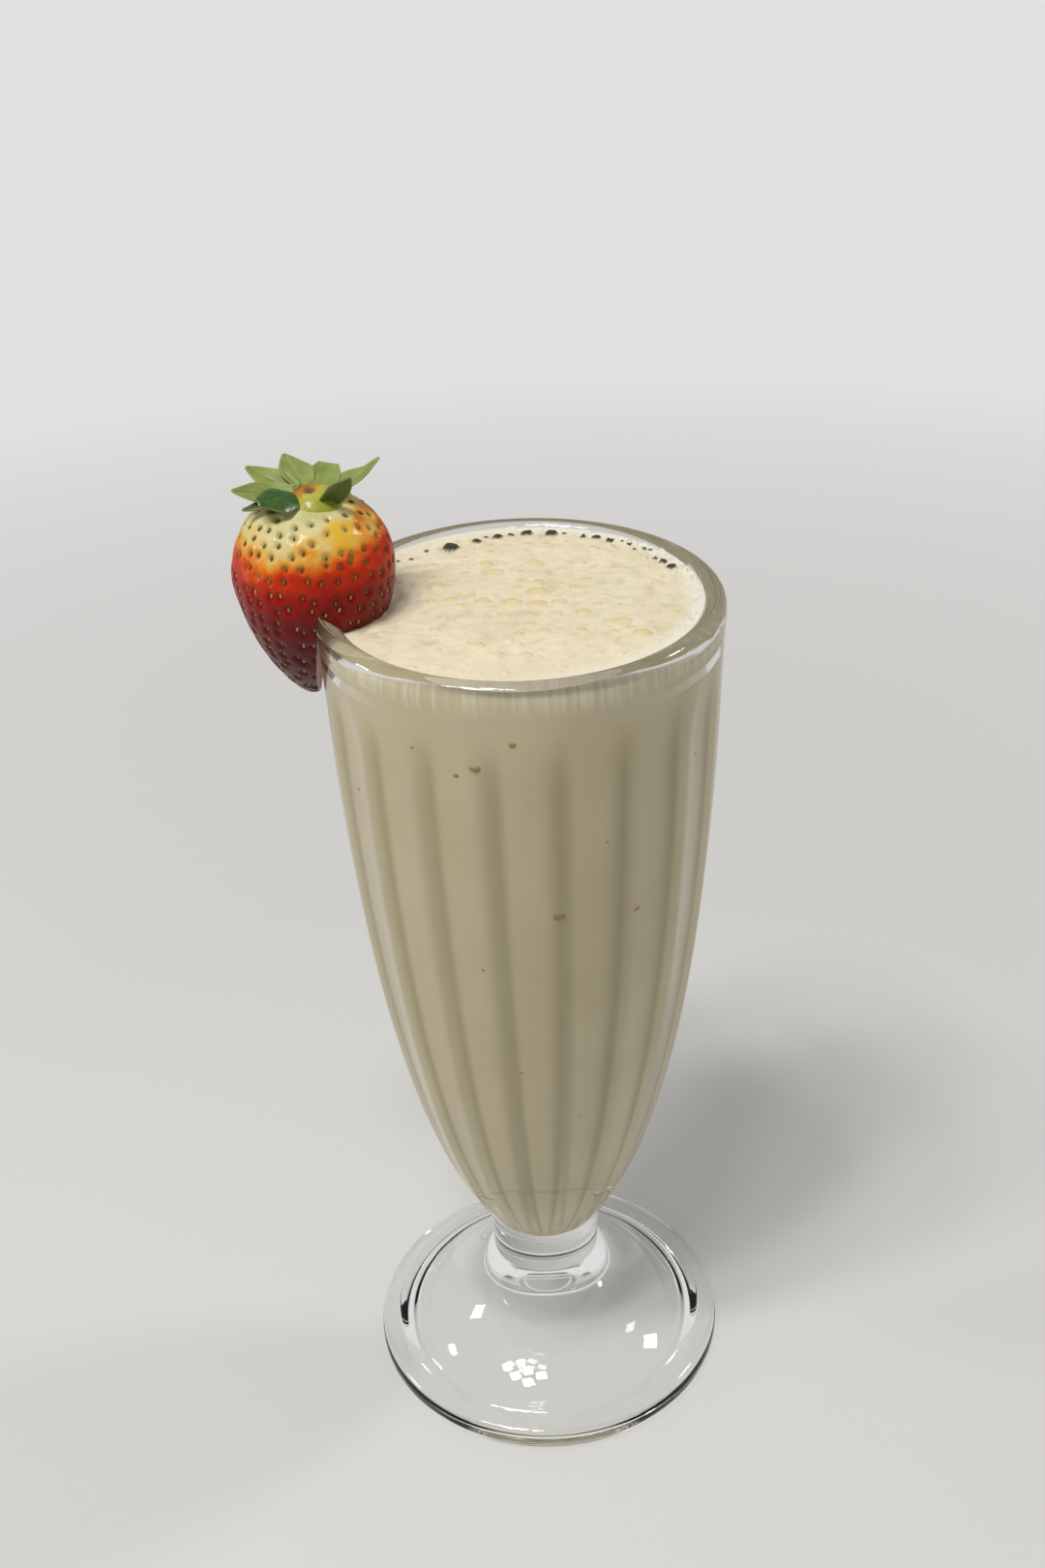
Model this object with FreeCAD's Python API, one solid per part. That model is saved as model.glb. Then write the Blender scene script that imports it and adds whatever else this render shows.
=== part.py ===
"""Banana milkshake in its footed, fluted glass, with a strawberry slit over the rim.

Millimetres, +Z up. The glass stands on z = 0 and its axis is the Z axis. The strawberry
hangs over the rim on the -X side.
"""

import FreeCAD, Part

import math
import os
from FreeCAD import Vector

# ---------------------------------------------------------------- the glass: lip and bowl
GLASS_HEIGHT = 196.8        # crest of the lip above the table
LIP_RADIUS = 40.0           # outside of the lip at its widest
LIP_THICKNESS = 4.6         # the lip is rounded over to half of this
LIP_BAND = 4.7              # height of the lip band, from the crest down to its lower edge
LIP_STEP = 0.15             # the band stands this far out of the wall below it
BOWL_BASE_Z = 30.0          # where the outer curve of the bowl would close on the axis
BOWL_FULLNESS = 2.15        # how soon the outer curve turns upright
BOWL_BLUNTNESS = 0.52       # how round the outer curve is at its lower end
BOWL_JOIN_Z = 40.0          # where the bowl passes into the stem

# ---------------------------------------------------------------- the inside of the bowl
WALL = 4.4                  # wall at the rim
CAVITY_FLOOR_Z = 37.0       # deepest point of the inside
CAVITY_DOME = 2.0           # height of its rounded floor
CAVITY_FULLNESS = 2.1       # as for the outer curve
CAVITY_BLUNTNESS = 0.56     # as for the outer curve

# ---------------------------------------------------------------- the flutes
FLUTE_COUNT = 18
FLUTE_HOLLOW = 0.085        # depth of a flute for each unit of its pitch
RIDGE_ROUNDING = 0.14       # share of the half pitch over which a ridge is rounded
FLUTE_TOP_GAP = 4.6         # from the lip band down to the tip of the arch that ends a flute
FLUTE_ARCH = 13.0           # height over which a flute opens from that tip
ARCH_SOFTNESS = 0.10        # softness of the arch's edge, as a share of the depth
FLUTE_FOOT_GAP = 1.0        # from the stem up to the lower tip of each flute
FLUTE_RUNOUT = 6.0          # height over which it fades out again

# ---------------------------------------------------------------- stem and bell foot
STEM_TOP_INSET = 1.47       # the stem ends this far inside the outer curve of the bowl
NECK_RADIUS = 12.3          # at the crease between stem and bell
NECK_Z = 27.5
BELL_MID_RADIUS = 20.8      # a point half way down the flare of the bell
BELL_MID_Z = 15.4
FOOT_RING_WIDTH = 4.7       # from the outside of the foot in to the edge of the bell
BELL_EDGE_Z = 6.6
FOOT_RADIUS = 41.1          # outside of the foot ring
FOOT_RING_Z = 5.6           # top of the foot ring
FOOT_WIDEST_Z = 2.9
FOOT_EDGE_RELIEF = 1.6      # how far the rounded edge draws in at the table
LANDING_WIDTH = 4.6         # flat ring that stands on the table
HOLLOW_TOP_Z = 18.6         # top of the hollow under the bell
HOLLOW_TOP_RADIUS = 5.2     # radius of its rounded top
HOLLOW_DOME = 2.0           # height of that rounding
HOLLOW_LIP_Z = 2.2          # height of the bevel at the mouth of the hollow
HOLLOW_BEVEL = 1.3          # width of that bevel
BELL_WALL = 4.3             # wall of the bell half way down its flare

# ---------------------------------------------------------------- the drink
FILL_BELOW_CREST = 1.1      # froth level under the crest of the lip

# ---------------------------------------------------------------- the strawberry
BERRY_RADIUS = 15.6
BERRY_WIDEST_ABOVE_LIP = 8.2    # its widest plane above the widest plane of the lip
BERRY_TIP_LENGTH = 27.0         # widest plane to tip
BERRY_SHOULDER_HEIGHT = 16.4    # widest plane to the crown under the leaves
BERRY_TIP_BULGE = 1.5           # exponents of the lower curve
BERRY_TIP_BLUNTNESS = 0.70
BERRY_SHOULDER_FULLNESS = 2.4   # exponent of the upper curve
BERRY_OUTSET = -0.6             # berry axis outside the middle of the lip's outer edge
BERRY_LEAN_OUT = 6.0            # degrees the tip leans away from the glass
BERRY_LEAN_BACK = 6.0           # degrees the crown leans to the front
SEAT_CLEARANCE = 0.3            # slit to glass, on the lip and inside the bowl
SLIT_OUTER_GAP = 0.8            # slit to glass outside the lip
SLIT_RISE = 6.2                 # top of the slit above the widest plane of the lip

# ---------------------------------------------------------------- the leaves
HULL_RADIUS = 5.6           # the round scar where the stalk was
HULL_HEIGHT = 2.0
LEAF_THICKNESS = 0.5
LEAF_ROOT_RADIUS = 3.6      # where the leaves start, from the berry's axis
LEAF_ROOT_RISE = 0.55       # middle of the leaf roots above the crown of the berry
HULL_SINK = 1.0             # edge of the scar below the crown, so that it meets the berry

# azimuth, length, width, width at the root, width at the tip, lift, curl radius
LEAVES = (
    (184.0, 11.5, 5.0, 3.4, 0.4, -7.0, 26.0),
    (156.0, 10.8, 5.4, 3.4, 0.4, 1.0, 30.0),
    (124.0, 8.6, 7.0, 4.0, 0.4, 12.0, 28.0),
    (78.0, 6.4, 6.6, 4.6, 4.0, 12.0, 40.0),
    (40.0, 9.0, 4.6, 3.8, 0.4, 7.4, 32.0),
    (12.0, 10.9, 4.2, 3.6, 0.4, 30.0, 34.0),
    (318.0, 9.0, 6.2, 4.4, 0.4, 58.0, -30.0),
    (216.0, 8.2, 7.2, 3.8, 1.6, 22.0, -17.0),
    (197.0, 10.3, 4.0, 3.0, 0.4, -16.0, 60.0),
)

# ---------------------------------------------------------------- values that follow
LIP_CENTRE_RADIUS = LIP_RADIUS - LIP_THICKNESS / 2
LIP_WIDEST_Z = GLASS_HEIGHT - LIP_THICKNESS / 2
LIP_LOWER_Z = GLASS_HEIGHT - LIP_BAND
FILL_Z = GLASS_HEIGHT - FILL_BELOW_CREST
INNER_RADIUS = LIP_RADIUS - WALL
FLUTE_TOP_Z = LIP_LOWER_Z - FLUTE_TOP_GAP
FLUTE_FOOT_Z = BOWL_JOIN_Z + FLUTE_FOOT_GAP
BELL_EDGE_RADIUS = FOOT_RADIUS - FOOT_RING_WIDTH
BERRY_AXIS_X = -(LIP_RADIUS + BERRY_OUTSET)
BERRY_CENTRE_Z = LIP_WIDEST_Z + BERRY_WIDEST_ABOVE_LIP
PROFILE_POINTS = 14
PANEL_POINTS = 11
STEM_OVERLAP = 2.5
BAND_OVERLAP = 0.6


def at(radius, z):
    """A point of a profile, in the XZ plane."""
    return Vector(radius, 0, z)


def line(a, b):
    """A straight edge."""
    return Part.LineSegment(a, b).toShape()


def arc(a, b, c):
    """An arc edge through three points."""
    return Part.Arc(a, b, c).toShape()


def spline(points):
    """A smooth edge through points."""
    curve = Part.BSplineCurve()
    curve.interpolate(Points=points)
    return curve.toShape()


def dome(radius, height, top_z):
    """The edge of a dome with its centre on the axis; a negative height turns it over."""
    sphere = (radius ** 2 + height ** 2) / (2 * height)
    centre_z = top_z - sphere
    half = math.asin(radius / abs(sphere)) / 2
    middle = at(abs(sphere) * math.sin(half), centre_z + sphere * math.cos(half))
    return arc(at(0, top_z), middle, at(radius, top_z - height))


def revolved(edges):
    """The solid that a closed profile in the XZ plane sweeps round the Z axis."""
    face = Part.Face(Part.Wire(Part.__sortEdges__(edges)))
    return face.revolve(Vector(0, 0, 0), Vector(0, 0, 1), 360)


def bullet_radius(z, low, high, radius, fullness, bluntness):
    """Radius at z of a curve that opens from low and stands upright at high."""
    share = (z - low) / (high - low)
    return radius * (1 - (1 - share) ** fullness) ** bluntness


def bowl_radius(z):
    """Outside of the bowl, over the ridges."""
    top = LIP_RADIUS - LIP_STEP
    return bullet_radius(z, BOWL_BASE_Z, GLASS_HEIGHT, top, BOWL_FULLNESS, BOWL_BLUNTNESS)


def cavity_radius(z):
    """Inside of the bowl."""
    return bullet_radius(z, CAVITY_FLOOR_Z, GLASS_HEIGHT, INNER_RADIUS,
                         CAVITY_FULLNESS, CAVITY_BLUNTNESS)


def spaced(low, high, count, crowding=1.0):
    """Heights from low to high, closer together near low where crowding is over 1."""
    steps = range(count)
    return [low + (high - low) * (i / (count - 1)) ** crowding for i in steps]


def foot_outline():
    """Profile of the foot and stem, from the table up into the bottom of the bowl."""
    widest = at(FOOT_RADIUS, FOOT_WIDEST_Z)
    toe = at(FOOT_RADIUS - FOOT_EDGE_RELIEF, 0)
    toe_mid = at(FOOT_RADIUS - FOOT_EDGE_RELIEF * 0.25, FOOT_WIDEST_Z * 0.35)
    ring_inner = at(BELL_EDGE_RADIUS + (BELL_EDGE_Z - FOOT_RING_Z) * 0.6, FOOT_RING_Z)
    ring_outer = at(FOOT_RADIUS - (FOOT_RING_Z - FOOT_WIDEST_Z) * 0.9, FOOT_RING_Z)
    ring_mid = at(FOOT_RADIUS - (FOOT_RING_Z - FOOT_WIDEST_Z) * 0.28,
                  FOOT_WIDEST_Z + (FOOT_RING_Z - FOOT_WIDEST_Z) * 0.72)
    bell_edge = at(BELL_EDGE_RADIUS, BELL_EDGE_Z)
    neck = at(NECK_RADIUS, NECK_Z)
    stem_end_z = BOWL_JOIN_Z + STEM_OVERLAP
    stem_top = at(bowl_radius(stem_end_z) - STEM_TOP_INSET, stem_end_z)
    stem_mid = at(NECK_RADIUS + (stem_top.x - NECK_RADIUS) * 0.4,
                  NECK_Z + (stem_end_z - NECK_Z) * 0.55)
    inside = at(0, stem_end_z)
    return [
        line(at(0, 0), toe),
        arc(toe, toe_mid, widest),
        arc(widest, ring_mid, ring_outer),
        line(ring_outer, ring_inner),
        line(ring_inner, bell_edge),
        arc(bell_edge, at(BELL_MID_RADIUS, BELL_MID_Z), neck),
        arc(neck, stem_mid, stem_top),
        line(stem_top, inside),
        line(inside, at(0, 0)),
    ]


def lip_outline():
    """Profile of the lip band and the rounded lip, closed to the axis."""
    band_foot = at(LIP_RADIUS - LIP_STEP - BAND_OVERLAP, LIP_LOWER_Z - BAND_OVERLAP)
    band_edge = at(LIP_RADIUS, LIP_LOWER_Z + LIP_STEP)
    inside = at(0, band_foot.z)
    lip_widest = at(LIP_RADIUS, LIP_WIDEST_Z)
    crest = at(LIP_CENTRE_RADIUS, GLASS_HEIGHT)
    corner = math.sqrt(0.5) * LIP_THICKNESS / 2
    shoulder = at(LIP_CENTRE_RADIUS + corner, LIP_WIDEST_Z + corner)
    return [
        line(inside, band_foot),
        line(band_foot, band_edge),
        line(band_edge, lip_widest),
        arc(lip_widest, shoulder, crest),
        line(crest, at(0, GLASS_HEIGHT)),
        line(at(0, GLASS_HEIGHT), inside),
    ]


def cavity_outline():
    """Profile of the inside of the bowl, opening over the rounded lip to the crest."""
    dome_z = CAVITY_FLOOR_Z + CAVITY_DOME
    heights = spaced(dome_z, LIP_WIDEST_Z, PROFILE_POINTS, 1.5)
    wall = [at(cavity_radius(z), z) for z in heights[:-1]]
    wall.append(at(LIP_RADIUS - LIP_THICKNESS, LIP_WIDEST_Z))
    corner = math.sqrt(0.5) * LIP_THICKNESS / 2
    shoulder = at(LIP_CENTRE_RADIUS - corner, LIP_WIDEST_Z + corner)
    crest = at(LIP_CENTRE_RADIUS, GLASS_HEIGHT)
    return [
        dome(wall[0].x, -CAVITY_DOME, CAVITY_FLOOR_Z),
        spline(wall),
        arc(wall[-1], shoulder, crest),
        line(crest, at(0, GLASS_HEIGHT)),
        line(at(0, GLASS_HEIGHT), at(0, CAVITY_FLOOR_Z)),
    ]


def hollow_outline():
    """Profile of the hollow under the bell foot."""
    landing_inner = FOOT_RADIUS - FOOT_EDGE_RELIEF - LANDING_WIDTH
    mouth = at(landing_inner, 0)
    bevel = at(landing_inner - HOLLOW_BEVEL, HOLLOW_LIP_Z)
    mid = at(BELL_MID_RADIUS - BELL_WALL * 0.7, BELL_MID_Z - BELL_WALL * 0.72)
    dome_foot = at(HOLLOW_TOP_RADIUS, HOLLOW_TOP_Z - HOLLOW_DOME)
    top = at(0, HOLLOW_TOP_Z)
    return [
        line(at(0, 0), mouth),
        line(mouth, bevel),
        arc(bevel, mid, dome_foot),
        dome(HOLLOW_TOP_RADIUS, HOLLOW_DOME, HOLLOW_TOP_Z),
        line(top, at(0, 0)),
    ]


def eased(share):
    """A share from 0 to 1 that arrives at 1 without a kink, running on below 0."""
    if share >= 1:
        return 1.0
    return share * (2 - share)


def flute_fade(z):
    """Share of the full flute depth at z: the flute fades in under the lip and out below."""
    above = eased((FLUTE_TOP_Z - z) / FLUTE_ARCH)
    below = eased((z - FLUTE_FOOT_Z) / FLUTE_RUNOUT)
    return max(-1.0, min(above, below))


def flute_depth(z, across):
    """Depth of the flute at z, where across runs from -1 on one ridge to 1 on the next."""
    from_ridge = 1 - abs(across)
    rounded = math.hypot(from_ridge, RIDGE_ROUNDING) - RIDGE_ROUNDING
    rounded = rounded / (math.hypot(1, RIDGE_ROUNDING) - RIDGE_ROUNDING)
    level = rounded * (2 - rounded) - 1 + flute_fade(z)
    share = (level + math.hypot(level, ARCH_SOFTNESS)) / 2
    pitch = 2 * math.pi * bowl_radius(z) / FLUTE_COUNT
    return pitch * FLUTE_HOLLOW * share


def panel_row(z):
    """Points across one flute at z, from ridge to ridge, closer together at the ridges."""
    row = []
    for i in range(PANEL_POINTS):
        across = -math.cos(math.pi * i / (PANEL_POINTS - 1))
        radius = bowl_radius(z) - flute_depth(z, across)
        angle = across * math.pi / FLUTE_COUNT
        row.append(Vector(radius * math.cos(angle), radius * math.sin(angle), z))
    return row


def panel_heights():
    """Heights of the rows of a panel, closer together where the flutes start and end."""
    low = BOWL_JOIN_Z - STEM_OVERLAP
    high = LIP_LOWER_Z + LIP_STEP + BAND_OVERLAP
    foot = spaced(low, FLUTE_FOOT_Z + FLUTE_RUNOUT, 6)
    middle = spaced(FLUTE_FOOT_Z + FLUTE_RUNOUT, FLUTE_TOP_Z - FLUTE_ARCH, 11, 1.1)
    arch = spaced(FLUTE_TOP_Z - FLUTE_ARCH, high, 8)
    return foot + middle[1:] + arch[1:]


def fluted_bowl():
    """The bowl as a solid body with flutes all round, one of them facing the front."""
    surface = Part.BSplineSurface()
    surface.interpolate([panel_row(z) for z in panel_heights()])
    panel = surface.toShape()
    panels = []
    for i in range(FLUTE_COUNT):
        turned = panel.copy()
        turned.rotate(Vector(0, 0, 0), Vector(0, 0, 1), 360 * i / FLUTE_COUNT - 90)
        panels.append(turned)
    skin = Part.makeShell(panels)
    skin.sewShape()
    rims = [e for e in skin.Edges if abs(e.BoundBox.ZLength) < 1e-4]
    caps = [Part.Face(Part.Wire(loop)) for loop in Part.sortEdges(rims)]
    shell = Part.makeShell(skin.Faces + caps)
    shell.sewShape()
    return Part.makeSolid(shell)


def make_cavity():
    """The space inside the bowl, up to the crest of the lip."""
    return revolved(cavity_outline())


def make_glass():
    """The glass: lip, bowl with flutes, stem and hollow bell foot in one piece."""
    body = fluted_bowl().multiFuse([revolved(foot_outline()), revolved(lip_outline())])
    return body.cut([make_cavity(), revolved(hollow_outline())])


def berry_radius(z):
    """Radius of the whole berry at z above its widest plane."""
    if z < 0:
        share = -z / BERRY_TIP_LENGTH
        return BERRY_RADIUS * (1 - share ** BERRY_TIP_BULGE) ** BERRY_TIP_BLUNTNESS
    share = z / BERRY_SHOULDER_HEIGHT
    power = BERRY_SHOULDER_FULLNESS
    return BERRY_RADIUS * (1 - share ** power) ** (1 / power)


def berry_heights():
    """Heights of the berry's profile, closer together at its ends."""
    below = [-BERRY_TIP_LENGTH * math.sin(math.pi / 2 * i / 8) for i in range(7, 0, -1)]
    above = [BERRY_SHOULDER_HEIGHT * math.sin(math.pi / 2 * i / 7) for i in range(0, 7)]
    return below + above


def placed_on_berry(shape):
    """A shape of the berry's own frame, leant and moved to the berry's place."""
    shape.rotate(Vector(0, 0, 0), Vector(0, 1, 0), BERRY_LEAN_OUT)
    shape.rotate(Vector(0, 0, 0), Vector(1, 0, 0), BERRY_LEAN_BACK)
    shape.translate(Vector(BERRY_AXIS_X, 0, BERRY_CENTRE_Z))
    return shape


def whole_berry():
    """The berry before it is slit, in place."""
    flank = [at(berry_radius(z), z) for z in berry_heights()]
    crown = at(0, flank[-1].z)
    tip_height = flank[0].z + BERRY_TIP_LENGTH
    edges = [
        dome(flank[0].x, -tip_height, -BERRY_TIP_LENGTH),
        spline(flank),
        line(flank[-1], crown),
        line(crown, at(0, -BERRY_TIP_LENGTH)),
    ]
    return placed_on_berry(revolved(edges))


def slit_cutter():
    """The slit: upright outside the glass, sloping over the rounded lip on the inside."""
    reach = LIP_THICKNESS / 2 + SEAT_CLEARANCE
    outer = LIP_RADIUS + SLIT_OUTER_GAP
    apex = at(outer, LIP_WIDEST_Z + SLIT_RISE)
    dx = outer - LIP_CENTRE_RADIUS
    to_apex = math.atan2(SLIT_RISE, dx)
    swing = math.acos(reach / math.hypot(dx, SLIT_RISE))
    touch_angle = to_apex + swing
    mid_angle = (touch_angle + math.pi) / 2
    touch = at(LIP_CENTRE_RADIUS + reach * math.cos(touch_angle),
               LIP_WIDEST_Z + reach * math.sin(touch_angle))
    middle = at(LIP_CENTRE_RADIUS + reach * math.cos(mid_angle),
                LIP_WIDEST_Z + reach * math.sin(mid_angle))
    inner = at(LIP_CENTRE_RADIUS - reach, LIP_WIDEST_Z)
    depth = BERRY_TIP_LENGTH + BERRY_RADIUS
    inner_foot = at(cavity_radius(LIP_WIDEST_Z - depth) - SEAT_CLEARANCE, LIP_WIDEST_Z - depth)
    outer_foot = at(outer, LIP_WIDEST_Z - depth)
    return revolved([
        line(apex, touch),
        arc(touch, middle, inner),
        line(inner, inner_foot),
        line(inner_foot, outer_foot),
        line(outer_foot, apex),
    ])


def make_berry():
    """The strawberry, slit from its tip so that it straddles the wall of the glass."""
    return whole_berry().cut(slit_cutter())


def leaf_outline(length, width, root, tip):
    """Flat outline of a leaf, growing along +X from its root."""
    belly = length * 0.42
    left = spline([Vector(0, root / 2, 0), Vector(belly, width / 2, 0),
                   Vector(length * 0.8, (width * 0.42 + tip) / 2, 0), Vector(length, tip / 2, 0)])
    right = spline([Vector(0, -root / 2, 0), Vector(belly, -width / 2, 0),
                    Vector(length * 0.8, -(width * 0.42 + tip) / 2, 0), Vector(length, -tip / 2, 0)])
    edges = [left, right, line(Vector(0, -root / 2, 0), Vector(0, root / 2, 0))]
    if tip > 0:
        edges.append(line(Vector(length, -tip / 2, 0), Vector(length, tip / 2, 0)))
    return Part.Wire(Part.__sortEdges__(edges))


def make_leaf(azimuth, length, width, root, tip, lift, curl):
    """One leaf: its outline taken from a thin sheet that curls up (or down if negative)."""
    blank = Part.Face(leaf_outline(length, width, root, tip)).extrude(Vector(0, 0, 80))
    blank.translate(Vector(0, 0, -40))
    bend = abs(curl)
    side = math.copysign(1, curl)
    start = Vector(0, -width, side * bend)
    along = Vector(0, 1, 0)
    outer = Part.makeCylinder(bend + LEAF_THICKNESS / 2, 2 * width, start, along)
    inner = Part.makeCylinder(bend - LEAF_THICKNESS / 2, 2 * width, start, along)
    leaf = blank.common(outer.cut(inner))
    near = [s for s in leaf.Solids if abs(s.CenterOfMass.z) < bend]
    leaf = near[0]
    leaf.rotate(Vector(0, 0, 0), Vector(0, 1, 0), -lift)
    leaf.translate(Vector(LEAF_ROOT_RADIUS, 0, BERRY_SHOULDER_HEIGHT + LEAF_ROOT_RISE))
    leaf.rotate(Vector(0, 0, 0), Vector(0, 0, 1), azimuth)
    return leaf


def make_calyx(berry):
    """The ring of leaves and the round stalk scar, resting on the crown of the berry."""
    top_z = BERRY_SHOULDER_HEIGHT + HULL_HEIGHT
    rim = at(HULL_RADIUS, BERRY_SHOULDER_HEIGHT - HULL_SINK)
    base = at(0, rim.z - HULL_HEIGHT)
    base_rim = at(HULL_RADIUS, base.z)
    hull = revolved([
        dome(HULL_RADIUS, top_z - rim.z, top_z),
        line(at(0, top_z), base),
        line(base, base_rim),
        line(base_rim, rim),
    ])
    leaves = [make_leaf(*leaf) for leaf in LEAVES]
    calyx = hull.multiFuse(leaves)
    return placed_on_berry(calyx).cut(berry)


def make_milkshake(berry):
    """The drink with its froth, filling the bowl and cut round the berry."""
    above = Part.makeCylinder(LIP_RADIUS * 2, GLASS_HEIGHT, Vector(0, 0, FILL_Z))
    return make_cavity().cut([above, berry])


def save(shape, node):
    """Write one node as a single solid."""
    solids = sorted(shape.Solids, key=lambda s: -s.Volume)
    print(node, len(solids), [round(s.Volume, 1) for s in solids], shape.isValid())
    solids[0].exportStep("parts/" + node + ".step")


def main():
    """Build every node and write it."""
    os.makedirs("parts", exist_ok=True)
    berry = make_berry()
    whole = whole_berry()
    save(make_glass(), "glass")
    save(make_milkshake(berry), "milkshake")
    save(berry, "strawberry")
    save(make_calyx(whole), "strawberry_calyx")


if __name__ == "__main__":
    main()
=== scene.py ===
"""Looks of the banana milkshake: a footed fluted glass, the drink, its froth and the strawberry."""

import logging
import math
import random
from collections.abc import Callable, Sequence
from dataclasses import dataclass, field
from enum import Enum

import bpy
import numpy as np
from mathutils import Matrix, Vector, noise


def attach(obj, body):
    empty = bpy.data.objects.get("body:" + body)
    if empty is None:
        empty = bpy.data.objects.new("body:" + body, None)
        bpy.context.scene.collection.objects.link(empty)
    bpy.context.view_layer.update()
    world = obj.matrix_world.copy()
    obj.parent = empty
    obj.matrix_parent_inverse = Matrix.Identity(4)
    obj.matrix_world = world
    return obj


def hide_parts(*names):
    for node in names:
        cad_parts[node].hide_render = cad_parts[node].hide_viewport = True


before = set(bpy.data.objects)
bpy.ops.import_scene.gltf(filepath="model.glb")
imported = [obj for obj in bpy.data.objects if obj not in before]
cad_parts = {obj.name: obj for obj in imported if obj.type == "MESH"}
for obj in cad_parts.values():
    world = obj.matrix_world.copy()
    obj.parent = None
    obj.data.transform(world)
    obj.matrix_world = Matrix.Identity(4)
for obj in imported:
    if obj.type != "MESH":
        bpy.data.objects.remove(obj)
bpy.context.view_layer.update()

MM = 0.001
SEED = 11
log = logging.getLogger("milkshake")

Station = tuple[float, float]
Place = tuple[float, float, float]
Colour = tuple[float, float, float]
Stops = tuple[tuple[float, Colour], ...]
Piece = bpy.types.Object
Material = bpy.types.Material
Tree = bpy.types.NodeTree
Node = bpy.types.Node
Socket = bpy.types.NodeSocket


# ------------------------------------------------------------------ modelling helpers

def deselect() -> None:
    """Leaves edit mode and clears the selection."""
    active = bpy.context.view_layer.objects.active
    if active is not None and active.mode != "OBJECT":
        bpy.ops.object.mode_set(mode="OBJECT")
    bpy.ops.object.select_all(action="DESELECT")


def focus(piece: Piece) -> None:
    """Makes one piece the only selected and the active one."""
    deselect()
    piece.select_set(True)
    bpy.context.view_layer.objects.active = piece


def pick(piece: Piece, test: Callable[[Vector], bool]) -> None:
    """Selects the vertices whose place passes a test, and stays in edit mode.

    Args:
        piece: The mesh to select on.
        test: Says of a vertex's place whether it is picked.
    """
    focus(piece)
    bpy.ops.object.mode_set(mode="EDIT")
    bpy.ops.mesh.select_mode(type="VERT")
    select_vertices(piece, lambda i: test(piece.data.vertices[i].co))


def name_piece(name: str) -> Piece:
    """Names the active object and its mesh, and returns it.

    Args:
        name: The name for the object and its mesh.

    Returns:
        The piece that was active.
    """
    piece = bpy.context.view_layer.objects.active
    piece.name = name
    piece.data.name = name
    return piece


def turned(name: str, stations: Sequence[Station], steps: int, ring: bool = False) -> Piece:
    """Turns a profile into a mesh by drawing a circle out and in, ring after ring.

    Args:
        name: The piece's name.
        stations: Radius and height of each ring, in millimetres.
        steps: Vertices in a ring.
        ring: True joins the last ring to the first, and False closes both ends at the axis.

    Returns:
        The turned piece, with its origin at the world's.
    """
    deselect()
    radius, height = stations[0]
    bpy.ops.mesh.primitive_circle_add(vertices=steps, radius=radius * MM, location=(0, 0, 0))
    piece = name_piece(name)
    bpy.ops.object.mode_set(mode="EDIT")
    bpy.ops.mesh.select_mode(type="VERT")
    bpy.ops.mesh.select_all(action="SELECT")
    bpy.ops.transform.translate(value=(0, 0, height * MM))
    for next_radius, next_height in stations[1:]:
        rise = (next_height - height) * MM
        bpy.ops.mesh.extrude_region_move(TRANSFORM_OT_translate={"value": (0, 0, rise)})
        grow = next_radius / radius
        bpy.ops.transform.resize(value=(grow, grow, 1), center_override=(0, 0, next_height * MM))
        radius, height = next_radius, next_height
    if ring:
        close_ring(piece, stations)
    else:
        close_end()
        close_start(piece, steps)
    bpy.ops.mesh.select_all(action="SELECT")
    bpy.ops.mesh.normals_make_consistent(inside=False)
    bpy.ops.object.mode_set(mode="OBJECT")
    return piece


def close_end() -> None:
    """Draws the selected ring in to a single point."""
    bpy.ops.mesh.extrude_region_move(TRANSFORM_OT_translate={"value": (0, 0, 0)})
    bpy.ops.mesh.merge(type="CENTER")


def close_start(piece: Piece, steps: int) -> None:
    """Selects the first ring of a turned piece and draws it in to a point."""
    select_vertices(piece, lambda i: i < steps)
    close_end()


def close_ring(piece: Piece, stations: Sequence[Station]) -> None:
    """Bridges the last ring of a turned piece to its first.

    Args:
        piece: The turned piece.
        stations: The profile it was turned from.
    """
    bpy.ops.object.mode_set(mode="OBJECT")
    count = len(piece.data.vertices)
    steps = count // len(stations)
    select_vertices(piece, lambda i: i < steps or i >= count - steps)
    bpy.ops.mesh.bridge_edge_loops()


def select_vertices(piece: Piece, test: Callable[[int], bool]) -> None:
    """Selects the vertices whose number in the mesh passes a test, in edit mode.

    Args:
        piece: The mesh to select on.
        test: Says of a vertex number whether it is selected.
    """
    bpy.ops.object.mode_set(mode="EDIT")
    bpy.ops.mesh.select_all(action="DESELECT")
    bpy.ops.object.mode_set(mode="OBJECT")
    count = len(piece.data.vertices)
    piece.data.vertices.foreach_set("select", [test(i) for i in range(count)])
    bpy.ops.object.mode_set(mode="EDIT")


def apply_modifier(piece: Piece, kind: str, **settings: object) -> None:
    """Adds a modifier with its settings and applies it.

    Args:
        piece: The mesh it finishes.
        kind: The type of modifier.
        settings: The modifier's properties.
    """
    focus(piece)
    modifier = piece.modifiers.new(kind.lower(), kind)
    for key, value in settings.items():
        setattr(modifier, key, value)
    bpy.ops.object.modifier_apply(modifier=modifier.name)


def subdivide_smoothly(piece: Piece) -> None:
    """Rounds a piece with one applied level of subdivision surface."""
    apply_modifier(piece, "SUBSURF", levels=1, render_levels=1)


def places(piece: Piece) -> np.ndarray:
    """Places of all vertices, in millimetres, one row each.

    Args:
        piece: The mesh.

    Returns:
        One row of x, y and z for each vertex.
    """
    flat = np.zeros(len(piece.data.vertices) * 3)
    piece.data.vertices.foreach_get("co", flat)
    return flat.reshape(-1, 3) / MM


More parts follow.
